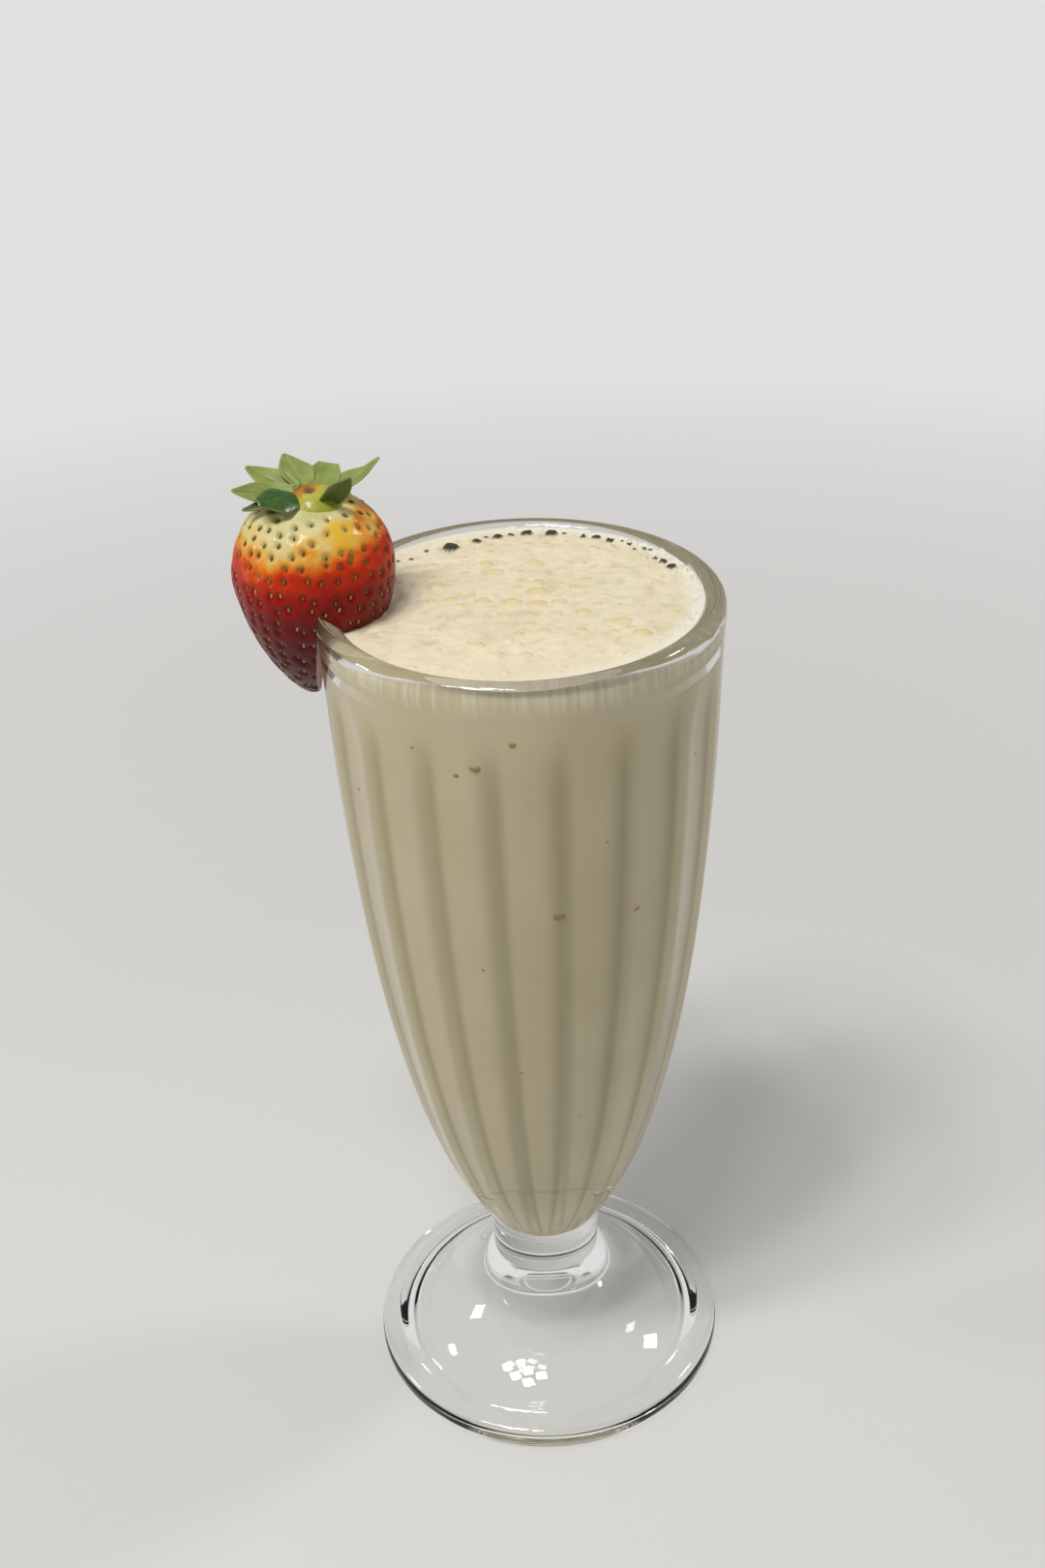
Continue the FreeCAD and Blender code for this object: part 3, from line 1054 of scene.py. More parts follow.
# Bubbles by place and radius, and dabs and specks by azimuth, height and size.
WINDOWS: tuple[Place, ...] = (
    (-5.3, 12.3, 2.2), (3.3, 16.0, 1.9), (-6.8, 17.3, 1.6), (3.6, 2.2, 2.3), (-1.7, -2.2, 2.1),
    (3.3, -3.2, 2.1), (7.5, -2.8, 1.5), (-7.4, -1.0, 1.7), (-13.6, 0.1, 1.4), (-16.7, 7.1, 1.8),
    (12.4, 15.7, 1.4), (8.5, 13.0, 1.2), (-0.4, 12.7, 1.1), (3.9, 7.1, 1.4), (0.5, 8.4, 0.9),
    (-2.7, 6.6, 0.7), (-0.5, 4.9, 1.1), (8.0, 6.1, 0.8), (10.6, 3.8, 1.1), (13.1, 7.4, 1.1),
    (17.5, 9.7, 1.1), (18.3, 15.4, 1.1), (-11.6, -2.6, 0.9), (-9.5, 1.1, 1.0), (-3.1, -7.7, 1.3),
    (1.9, -7.8, 1.2), (6.8, -7.8, 1.3), (12.0, -7.4, 1.6), (14.9, -4.4, 1.1), (-17.3, 17.8, 1.1),
    (-11.1, 20.9, 0.9), (-3.1, 26.2, 0.9), (1.9, 26.3, 1.2), (6.3, 26.5, 0.8), (9.8, 26.5, 0.7),
    (12.5, 24.6, 0.7), (15.7, 23.0, 1.2), (20.0, 22.5, 0.7), (-6.1, 23.0, 1.1), (-11.0, 12.8, 1.1),
    (-18.4, 14.2, 0.9), (13.1, 1.3, 0.6), (21.0, 17.0, 0.6), (27.0, 4.3, 1.2), (19.0, -4.9, 0.7),
    (18.7, -12.4, 2.2), (22.5, -18.0, 1.8), (17.4, -16.5, 1.0), (11.3, -15.3, 1.1),
    (29.6, -9.4, 0.9), (25.7, -9.0, 0.8), (4.3, -15.2, 1.3), (-17.2, 0.0, 1.2), (-18.3, -5.2, 0.9),
    (-6.5, -8.2, 0.8), (-16.2, -12.9, 1.0), (-11.3, -12.4, 0.7), (-0.5, -15.9, 1.0),
    (1.8, -12.1, 1.1), (-8.3, -20.0, 1.5), (-4.8, -24.4, 1.5), (0.6, -24.9, 1.3),
    (-15.4, -21.7, 0.7), (-19.5, 11.3, 1.0), (-23.2, 9.9, 1.0), (-20.8, 8.0, 0.7),
    (-13.5, -9.1, 1.0),
)
SPECKS: tuple[Place, ...] = (
    (-104.6, 178.7, 1.15), (-110.9, 176.5, 0.6), (-94.1, 183.9, 0.8), (-81.3, 144.8, 1.1),
    (-55.9, 142.1, 0.7), (-152.1, 164.6, 0.6), (-30.0, 170.0, 0.5), (-124.0, 181.0, 0.35),
    (-107.0, 131.0, 0.45), (-66.0, 160.0, 0.35), (-98.0, 103.0, 0.4), (-74.0, 88.0, 0.35),
)
FOAM_DABS: tuple[Place, ...] = (
    (92.0, 195.5, 1.0), (88.6, 195.1, 0.65), (95.6, 195.2, 0.6), (100.0, 195.3, 0.45),
    (117.0, 195.3, 0.5), (122.0, 194.6, 0.6), (66.0, 195.2, 0.35), (48.0, 194.8, 0.3),
)
CLEAR_BUBBLES: tuple[Place, ...] = (
    (-13.9, 26.4, 1.45), (-8.5, 29.1, 0.85), (-6.6, 31.4, 0.4), (-4.2, 31.1, 0.9),
    (-1.4, 31.7, 0.6),
    (1.9, 32.2, 1.05), (7.1, 31.8, 1.1), (9.8, 31.4, 0.4), (13.6, 29.6, 0.5), (16.3, 28.8, 0.8),
    (19.1, 26.9, 0.65), (21.5, 26.1, 0.35), (23.0, 24.3, 0.5), (23.8, 21.6, 0.4), (25.8, 22.0, 0.4),
    (27.0, 20.9, 0.4), (27.6, 16.7, 0.45), (29.1, 14.5, 0.7), (30.5, 12.0, 0.85),
    (-18.9, 24.8, 0.4), (-21.9, 20.7, 0.4), (-24.6, 20.4, 0.35),
)


@dataclass(frozen=True)
class Bubble:
    """A bubble in the froth, placed from the glass's axis, in millimetres."""

    x: float
    y: float
    radius: float
    rise: float
    window: float = 1.0
    # share painted dark, for the shade seen through a clear bubble
    clear: float = 0.0


@dataclass
class Drink:
    """The milkshake in its glass, with froth, bubbles and banana specks."""

    glass: FlutedGlass
    fill_below_crest: float = 1.1
    into_wall: float = 0.14
    froth_cells: int = 230
    froth_depth: float = 2.2
    small_bubbles: int = 420
    edge_bubbles: int = 260
    hidden_specks: int = 14
    body_finish: Shake = field(default_factory=Shake)
    froth_finish: FrothFinish = field(default_factory=FrothFinish)

    @property
    def level(self) -> float:
        """Height of the froth."""
        return self.glass.height - self.fill_below_crest

    def wall_radius(self, z: float) -> float:
        """Radius of the inside of the glass, lip included.

        Args:
            z: Height in millimetres.

        Returns:
            The radius in millimetres.
        """
        half = self.glass.lip_thickness / 2
        over = z - self.glass.lip_z
        if over > 0:
            return self.glass.lip_middle - math.sqrt(max(0.0, half ** 2 - over ** 2))
        return min(self.glass.inside.at(z), self.glass.lip_radius - self.glass.lip_thickness)

    def build_body(self) -> Piece:
        """Models the drink below its froth, reaching just into the wall of the glass.

        Returns:
            The body of the drink.
        """
        inside = self.glass.inside
        floor = inside.low + self.glass.cavity_dome
        top = self.level - self.froth_depth * 0.5
        bottom = dome_stations(inside.at(floor) + self.into_wall, -self.glass.cavity_dome,
                               inside.low - self.into_wall, 6)
        heights = spread(floor, top, 34, 1.3)[1:]
        wall = [(self.wall_radius(z) + self.into_wall, z) for z in heights]
        lid = [(self.wall_radius(top) * share, top) for share in (0.97, 0.7, 0.35)]
        body = turned("milkshake_body", bottom + wall + lid, 180)
        subdivide_smoothly(body)
        self.paint_ridge_shade_and_streaks(body)
        smooth(body, 50)
        dress(body, self.body_finish.make())
        return body

    def paint_ridge_shade_and_streaks(self, body: Piece) -> None:
        """Paints the soft shade that each ridge throws, and the streaks behind the lip.

        Args:
            body: The drink's body.
        """
        points = places(body)
        across, z = self.glass.across(points), points[:, 2]
        # painted shade behind each ridge of the glass, wider on one side
        after = np.where(across > 0, (1 - across) / 0.42, (1 + across) / 0.20)
        shown = np.clip(self.glass.fade(z + 3.0), 0, 1)
        paint(body, "band", 0.85 * np.exp(-after ** 2) * shown)
        turn = np.degrees(np.arctan2(points[:, 1], points[:, 0]))
        ring = np.stack([turn * 1.1, z * 0.06, np.zeros(len(z))], axis=1)
        near_lip = np.clip((z - self.glass.height + self.glass.lip_band + 2.5) / 3.0, 0, 1)
        fine = np.clip(noise_at(ring, 1.0, 2.0) * 1.6 + 0.35, 0, 1)
        paint(body, "streak", fine * near_lip * 0.8)

    def bubbles(self) -> list[Bubble]:
        """The bubbles: large windows in the middle, clear ones at the back, froth at the right.

        Returns:
            The bubbles, the ones that lie on top last.
        """
        chance = random.Random(SEED)
        windows = [Bubble(x, y, size, size * 0.30, chance.uniform(0.5, 1.0))
                   for x, y, size in WINDOWS]
        clear = [Bubble(x, y, size * 1.35, size * 0.6, 0.0, 1.0) for x, y, size in CLEAR_BUBBLES]
        small = []
        for _ in range(self.small_bubbles):
            radius, turn = 35 * math.sqrt(chance.random()), chance.uniform(0, 2 * math.pi)
            size = chance.uniform(0.25, 0.6) * (1.5 if chance.random() < 0.2 else 1.0)
            x, y = radius * math.cos(turn), radius * math.sin(turn)
            small.append(Bubble(x, y, size, size * 0.3, chance.uniform(0.1, 0.5)))
        edge = []
        for _ in range(self.edge_bubbles):
            turn = math.radians(chance.gauss(28, 26))
            radius = self.glass.inside.radius - abs(chance.gauss(0, 2.0))
            size = chance.uniform(0.3, 0.85)
            # a quarter of the edge bubbles are clear, painted dark for the shade seen through them
            dark = chance.uniform(0.05, 0.3) if chance.random() < 0.25 else 0.0
            edge.append(Bubble(radius * math.cos(turn), radius * math.sin(turn), size * 0.8,
                               size * (0.4 if dark == 0 else -0.3), 0.0, dark))
        return small + edge + windows + clear

    def build_froth(self) -> Piece:
        """Models the froth: a round sheet with relief, bubbles and a skirt into the wall.

        Returns:
            The froth.
        """
        deselect()
        cells, edge = self.froth_cells, self.wall_radius(self.level) + self.into_wall
        bpy.ops.mesh.primitive_grid_add(x_subdivisions=cells, y_subdivisions=cells,
                                        size=2 * edge * MM, location=(0, 0, self.level * MM))
        froth = name_piece("milkshake_froth")
        settle(froth)
        square = places(froth)
        x, y = square[:, 0], square[:, 1]
        push(froth, x * (np.sqrt(1 - (y / edge) ** 2 / 2) - 1), "X")
        push(froth, y * (np.sqrt(1 - (x / edge) ** 2 / 2) - 1), "Y")
        self.drop_skirt(froth)
        self.raise_bubbles(froth)
        smooth(froth, 70)
        dress(froth, self.froth_finish.make())
        return froth

    def drop_skirt(self, froth: Piece) -> None:
        """Draws the sheet's edge down along the wall and closes it underneath.

        Args:
            froth: The round sheet.
        """
        edge = self.wall_radius(self.level) + self.into_wall
        pick(froth, lambda co: math.hypot(co.x, co.y) > (edge - 0.01) * MM)
        height, radius = self.level, edge
        for drop in (0.5, 1.1, self.froth_depth):
            z = self.level - drop
            grow = (self.wall_radius(z) + self.into_wall) / radius
            down = (0, 0, (z - height) * MM)
            bpy.ops.mesh.extrude_region_move(TRANSFORM_OT_translate={"value": down})
            bpy.ops.transform.resize(value=(grow, grow, 1), center_override=(0, 0, z * MM))
            height, radius = z, radius * grow
        close_end()
        bpy.ops.mesh.select_all(action="SELECT")
        bpy.ops.mesh.normals_make_consistent(inside=False)
        bpy.ops.object.mode_set(mode="OBJECT")

    def raise_bubbles(self, froth: Piece) -> None:
        """Raises the relief and the bubbles, and paints where they are, with painted shade in the
        dents and on the back rim of each bubble.

        Args:
            froth: The sheet with its skirt.
        """
        points = places(froth)
        on_top = points[:, 2] > self.level - 0.2
        top = points[on_top]
        waves = 0.30 * noise_at(top, 4.0) + 0.20 * noise_at(top, 1.9, 5.0)
        wall = self.glass.inside.radius
        reach = np.hypot(top[:, 0], top[:, 1])
        calm = np.clip((wall - reach) / 3.0, 0, 1) * np.clip((top[:, 1] + 34) / 14, 0.25, 1)
        lift, yellow, dark = waves * calm, np.zeros(len(top)), np.zeros(len(top))
        # painted shade in the dents of the relief
        painted_shade = np.clip(-waves * 2.6 - 0.04, 0, 0.6) * calm
        for bubble in self.bubbles():
            near = np.hypot(top[:, 0] - bubble.x, top[:, 1] - bubble.y)
            touched = near < bubble.radius * 1.5
            away = near[touched] / bubble.radius
            share = np.clip(1 - away ** 2, 0, 1)
            moat = hump(np.abs(away - 1.12), 0.36)
            lift[touched] += bubble.rise * share ** 0.7 - abs(bubble.rise) * 0.3 * moat
            soft = np.clip(share * 1.7, 0, 1)
            yellow[touched] = np.maximum(yellow[touched] * (1 - soft), bubble.window * soft)
            # clear bubbles are painted dark, the shade seen through them
            dark[touched] = np.maximum(dark[touched], bubble.clear * np.clip(share * 3.5, 0, 1))
            # painted shadow on the rim at the back of each bubble
            behind = np.clip((top[touched, 1] - bubble.y) / bubble.radius, 0, 1)
            rim = hump(np.abs(away - 0.98), 0.34) * behind * min(1.0, bubble.radius)
            painted_shade[touched] = np.maximum(painted_shade[touched] * (1 - soft), 0.95 * rim)
        rising = np.zeros(len(points))
        rising[on_top] = lift
        push(froth, np.minimum(rising, self.fill_below_crest + 0.2), "Z")
        side = np.clip(0.5 + 0.9 * (top[:, 0] * 0.72 + top[:, 1] * 0.42) / wall, 0, 1)
        foam = np.clip((reach - wall + 4.1) / 3.0, 0, 1) * side
        layers = {"window": yellow, "clear": dark, "hollow": painted_shade, "foam": foam}
        for name, values in layers.items():
            everywhere = np.zeros(len(points))
            everywhere[on_top] = values
            paint(froth, name, everywhere)

    def build_blobs(self, name: str, spots: Sequence[tuple[Place, Place]], detail: int,
                    wave: Station, stand: Station, finish: Mottled) -> Piece:
        """Models flattened, uneven blobs at the wall of the glass and joins them.

        Args:
            name: The piece's name.
            spots: Azimuth in degrees, height and size of each blob, then its proportions.
            detail: How often the sphere that each starts from is divided.
            wave: Width and depth of its unevenness, as shares of its size.
            stand: How far out from the wall it stands, and the share of its size it stands back.
            finish: What it is dressed in.

        Returns:
            The blobs as one piece.
        """
        blobs = []
        for (turn, z, size), proportions in spots:
            deselect()
            bpy.ops.mesh.primitive_ico_sphere_add(subdivisions=detail, radius=size * MM,
                                                  location=(0, 0, 0))
            blob = name_piece("blob")
            bpy.ops.object.mode_set(mode="EDIT")
            bpy.ops.mesh.select_all(action="SELECT")
            bpy.ops.transform.resize(value=proportions)
            bpy.ops.object.mode_set(mode="OBJECT")
            push(blob, noise_at(places(blob), size * wave[0], turn) * size * wave[1])
            angle = math.radians(turn)
            radius = self.wall_radius(z) + stand[0] - size * stand[1]
            blob.location = Vector((radius * math.cos(angle), radius * math.sin(angle), z)) * MM
            blob.rotation_euler = (0, 0, angle)
            settle(blob)
            blobs.append(blob)
        made = join(blobs, name)
        smooth(made, 60)
        dress(made, finish.make())
        return made

    def build_specks(self) -> Piece:
        """Models the banana specks just inside the wall of the drink.

        Returns:
            The specks as one piece.
        """
        chance = random.Random(SEED + 3)
        hidden = [(chance.uniform(0, 180), chance.uniform(70, 180), chance.uniform(0.35, 1.0))
                  for _ in range(self.hidden_specks)]
        spots = [(spot, (0.35, 1.0, chance.uniform(0.6, 0.9))) for spot in (*SPECKS, *hidden)]
        return self.build_blobs("banana_specks", spots, 2, (0.8, 0.25), (self.into_wall, 0.1),
                                BANANA_SPECK)

    def build_dabs(self) -> Piece:
        """Models the dabs of foam that cling to the inside of the lip.

        Returns:
            The dabs as one piece.
        """
        spots = [(spot, (0.34, 1.3, 0.7)) for spot in FOAM_DABS]
        return self.build_blobs("foam_dabs", spots, 4, (0.7, 0.22), (0.0, 0.3), FOAM_DAB)

    def build(self) -> list[Piece]:
        """Models and dresses the drink's pieces.

        Returns:
            The four pieces.
        """
        made = [self.build_body(), self.build_froth(), self.build_specks(), self.build_dabs()]
        for piece in made:
            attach(piece, "root")
        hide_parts("milkshake")
        return made


# ------------------------------------------------------------------ the strawberry

@dataclass
class Strawberry:
    """The berry over the rim, slit from its tip. Sizes in millimetres."""

    glass: FlutedGlass
    radius: float = 15.6
    above_lip: float = 8.2
    tip_length: float = 27.0
    shoulder: float = 16.4
    tip_bulge: float = 1.5
    tip_bluntness: float = 0.70
    fullness: float = 2.4
    outset: float = -0.6
    lean_out: float = 6.0
    lean_back: float = 6.0
    seat: float = 0.3
    slit_gap: float = 0.8
    slit_rise: float = 6.2
    row_gap: float = 2.9
    seed_gap: float = 3.25
    seed_length: float = 1.15
    seed_sink: float = 0.36
    pit_radius: float = 1.15
    pit_depth: float = 0.46
    gold_patch: Place = (5.6, -8.6, 13.6)
    skin: BerrySkin = field(default_factory=BerrySkin)
    flesh: Mottled = BERRY_FLESH
    seed_finish: SeedFinish = field(default_factory=SeedFinish)

    @property
    def placing(self) -> Matrix:
        """From the berry's own frame, with its widest plane at zero, to its place, in metres.

        Returns:
            The matrix of the berry's place and lean.
        """
        glass = self.glass
        middle = Vector((-(glass.lip_radius + self.outset), 0, glass.lip_z + self.above_lip))
        lean = (Matrix.Rotation(math.radians(self.lean_back), 4, "X")
                @ Matrix.Rotation(math.radians(self.lean_out), 4, "Y"))
        return Matrix.Translation(middle * MM) @ lean

    def radius_at(self, z: float) -> float:
        """Radius of the berry at a height over its widest plane.

        Args:
            z: Height over the widest plane, below 0 towards the tip.

        Returns:
            The radius in millimetres.
        """
        if z < 0:
            share = min(1.0, -z / self.tip_length)
            return self.radius * (1 - share ** self.tip_bulge) ** self.tip_bluntness
        share = min(1.0, z / self.shoulder)
        return self.radius * (1 - share ** self.fullness) ** (1 / self.fullness)

    def stations(self) -> list[Station]:
        """The berry's profile, from its tip to its crown.

        Returns:
            Radius and height of each ring.
        """
        below = [-self.tip_length * math.sin(math.pi / 2 * i / 40) for i in range(39, 0, -1)]
        above = [self.shoulder * math.sin(math.pi / 2 * i / 30) for i in range(0, 30)]
        return [(self.radius_at(z), z) for z in below + above]

    def seed_spots(self) -> list[tuple[float, float]]:
        """Azimuth and height of each seed, in rows that are staggered and uneven.

        Returns:
            Azimuth in radians and height in millimetres of each seed.
        """
        chance = random.Random(SEED + 1)
        profile = self.stations()
        spots, run, wanted, row = [], 0.0, 3.0, 0
        for (r0, z0), (r1, z1) in zip(profile, profile[1:]):
            run += math.hypot(r1 - r0, z1 - z0)
            if run < wanted or z1 > self.shoulder - 0.8:
                continue
            wanted += self.row_gap * chance.uniform(0.92, 1.08)
            row += 1
            count = max(3, round(2 * math.pi * r1 / self.seed_gap))
            for i in range(count):
                turn = 2 * math.pi * (i + 0.5 * (row % 2) + chance.uniform(-0.27, 0.27)) / count
                spots.append((turn, z1 + chance.uniform(-0.75, 0.75)))
        return spots

    def build_body(self) -> Piece:
        """Models the berry with a dimple at each seed, then slits it.

        Returns:
            The berry in its place.
        """
        body = turned("strawberry_body", self.stations(), 132)
        subdivide_smoothly(body)
        points = places(body)
        bulk = 0.42 * noise_at(points, 13.0, 3.0) + 0.12 * noise_at(points, 4.0, 9.0)
        bulk = bulk * np.clip((points[:, 2] + self.tip_length) / 6, 0.2, 1)
        pits = np.zeros(len(points))
        for turn, z in self.seed_spots():
            radius = self.radius_at(z)
            spot = np.array([radius * math.cos(turn), radius * math.sin(turn), z])
            near = np.linalg.norm(points - spot, axis=1)
            pits = np.maximum(pits, hump(near, self.pit_radius))
        push(body, bulk - self.pit_depth * pits)
        level = (points[:, 2] + self.tip_length) / (self.tip_length + self.shoulder)
        turn = np.arctan2(points[:, 1], points[:, 0])
        # height share for the skin colours; its low end reads as painted shade towards the tip
        paint(body, "level", np.clip(level - 0.055 * np.cos(turn), 0, 1))
        # painted shade in the seed dimples
        paint(body, "pit_shade", np.clip(pits * 1.6 - 0.65, 0, 1) * 0.75)
        from_patch = (points - np.array(self.gold_patch)) / np.array([1.0, 1.0, 0.8])
        paint(body, "gold", hump(np.linalg.norm(from_patch, axis=1), 4.6) * 0.85)
        body.matrix_world = self.placing
        settle(body)
        dress(body, self.skin.make(), self.flesh.make())
        self.slit(body)
        smooth(body, 55)
        return body

    def slit(self, body: Piece) -> None:
        """Cuts the slit that the wall of the glass stands in.

        Args:
            body: The berry in its place.
        """
        glass = self.glass
        reach = glass.lip_thickness / 2 + self.seat
        outer = glass.lip_radius + self.slit_gap
        across = outer - glass.lip_middle
        swing = math.acos(reach / math.hypot(across, self.slit_rise))
        touch = math.atan2(self.slit_rise, across) + swing
        turns = [touch + (math.pi - touch) * i / 4 for i in range(5)]
        over = [(glass.lip_middle + reach * math.cos(t), glass.lip_z + reach * math.sin(t))
                for t in turns]
        low = glass.lip_z - self.tip_length - self.radius
        outline = [(outer, glass.lip_z + self.slit_rise), *over, (over[-1][0], low), (outer, low)]
        cutter = turned("slit_cutter", outline, 180, ring=True)
        dress(cutter, bpy.data.materials[self.skin.name], bpy.data.materials[self.flesh.name])
        for face in cutter.data.polygons:
            face.material_index = 1
        apply_modifier(body, "BOOLEAN", operation="DIFFERENCE", object=cutter, solver="EXACT",
                       material_mode="INDEX")
        bpy.data.objects.remove(cutter, do_unlink=True)

    def in_slit(self, place: Vector) -> bool:
        """Whether a place lies in the slit, where there is no skin.

        Args:
            place: A place in metres.

        Returns:
            True where the slit has taken the skin away.
        """
        around = math.hypot(place.x, place.y) / MM
        inner = self.glass.lip_radius - self.glass.lip_thickness - self.seat - 0.4
        outer = self.glass.lip_radius + self.slit_gap + 0.4
        rise = place.z / MM - self.glass.lip_z
        top = self.slit_rise * min(1.0, max(0.0, (around - inner) / (outer - inner))) + 0.5
        return inner < around < outer and rise < top

    def build_seeds(self) -> Piece:
        """Models one seed and sets copies of it in the dimples.

        Returns:
            The seeds as one piece.
        """
        chance = random.Random(SEED + 2)
        deselect()
        bpy.ops.mesh.primitive_uv_sphere_add(segments=10, ring_count=7, radius=MM,
                                             location=(0, 0, 0))
        pattern = name_piece("seed_pattern")
        bpy.ops.object.mode_set(mode="EDIT")
        bpy.ops.mesh.select_all(action="SELECT")
        bpy.ops.transform.resize(value=(0.21, 0.29, self.seed_length / 2))
        pick(pattern, lambda co: co.z > 0.2 * MM)
        bpy.ops.transform.resize(value=(0.7, 0.62, 1.12))
        bpy.ops.object.mode_set(mode="OBJECT")
        seeds = []
        for turn, z in self.seed_spots():
            radius, step = self.radius_at(z), 0.2
            over = self.radius_at(min(z + step, self.shoulder - 0.1))
            slope = (over - self.radius_at(z - step)) / (2 * step)
            out = Vector((math.cos(turn), math.sin(turn), -slope)).normalized()
            up = Vector((slope * math.cos(turn), slope * math.sin(turn), 1)).normalized()
            side = up.cross(out)
            place = Vector((radius * math.cos(turn), radius * math.sin(turn), z))
            place = place - out * self.seed_sink
            if self.in_slit(self.placing @ (place * MM)):
                continue
            seed = pattern.copy()
            seed.data = pattern.data.copy()
            bpy.context.scene.collection.objects.link(seed)
            turnabout = Matrix((out, side, up)).transposed().to_4x4()
            size = chance.uniform(0.78, 1.14)
            twist = Matrix.Rotation(chance.uniform(-0.25, 0.25), 4, "X")
            local = Matrix.Translation(place * MM) @ turnabout @ twist @ Matrix.Scale(size, 4)
            seed.data.transform(self.placing @ local)
            share = (z + self.tip_length) / (self.tip_length + self.shoulder)
            tone = chance.uniform(0.25, 0.85) if share < 0.8 else chance.uniform(0.0, 0.4)
            paint(seed, "tone", np.full(len(seed.data.vertices), tone))
            seeds.append(seed)
        bpy.data.objects.remove(pattern, do_unlink=True)
        made = join(seeds, "strawberry_seeds")
        smooth(made, 60)
        dress(made, self.seed_finish.make())
        return made

    def build(self) -> list[Piece]:
        """Models and dresses the berry and its seeds.

        Returns:
            The two pieces.
        """
        made = [self.build_body(), self.build_seeds()]
        for piece in made:
            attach(piece, "root")
        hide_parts("strawberry")
        return made


# ------------------------------------------------------------------ the leaves

class Side(Enum):
    """Which face of a leaf is turned to the front; it sets how far the leaf goes from lit yellow
    green to dark green, partly painted shade.
    """

    INNER = 0.0
    SHADED = 0.8
    GLOSSY = 1.0


@dataclass(frozen=True)
class Leaf:
    """One leaf: where it grows, its sizes in millimetres and how it bends."""

    azimuth: float
    length: float
    width: float
    root: float
    tip: float
    lift: float
    curl: float
    side: Side = Side.INNER
    cup: float = 0.5
    twist: float = 0.0
    roll: float = 0.0


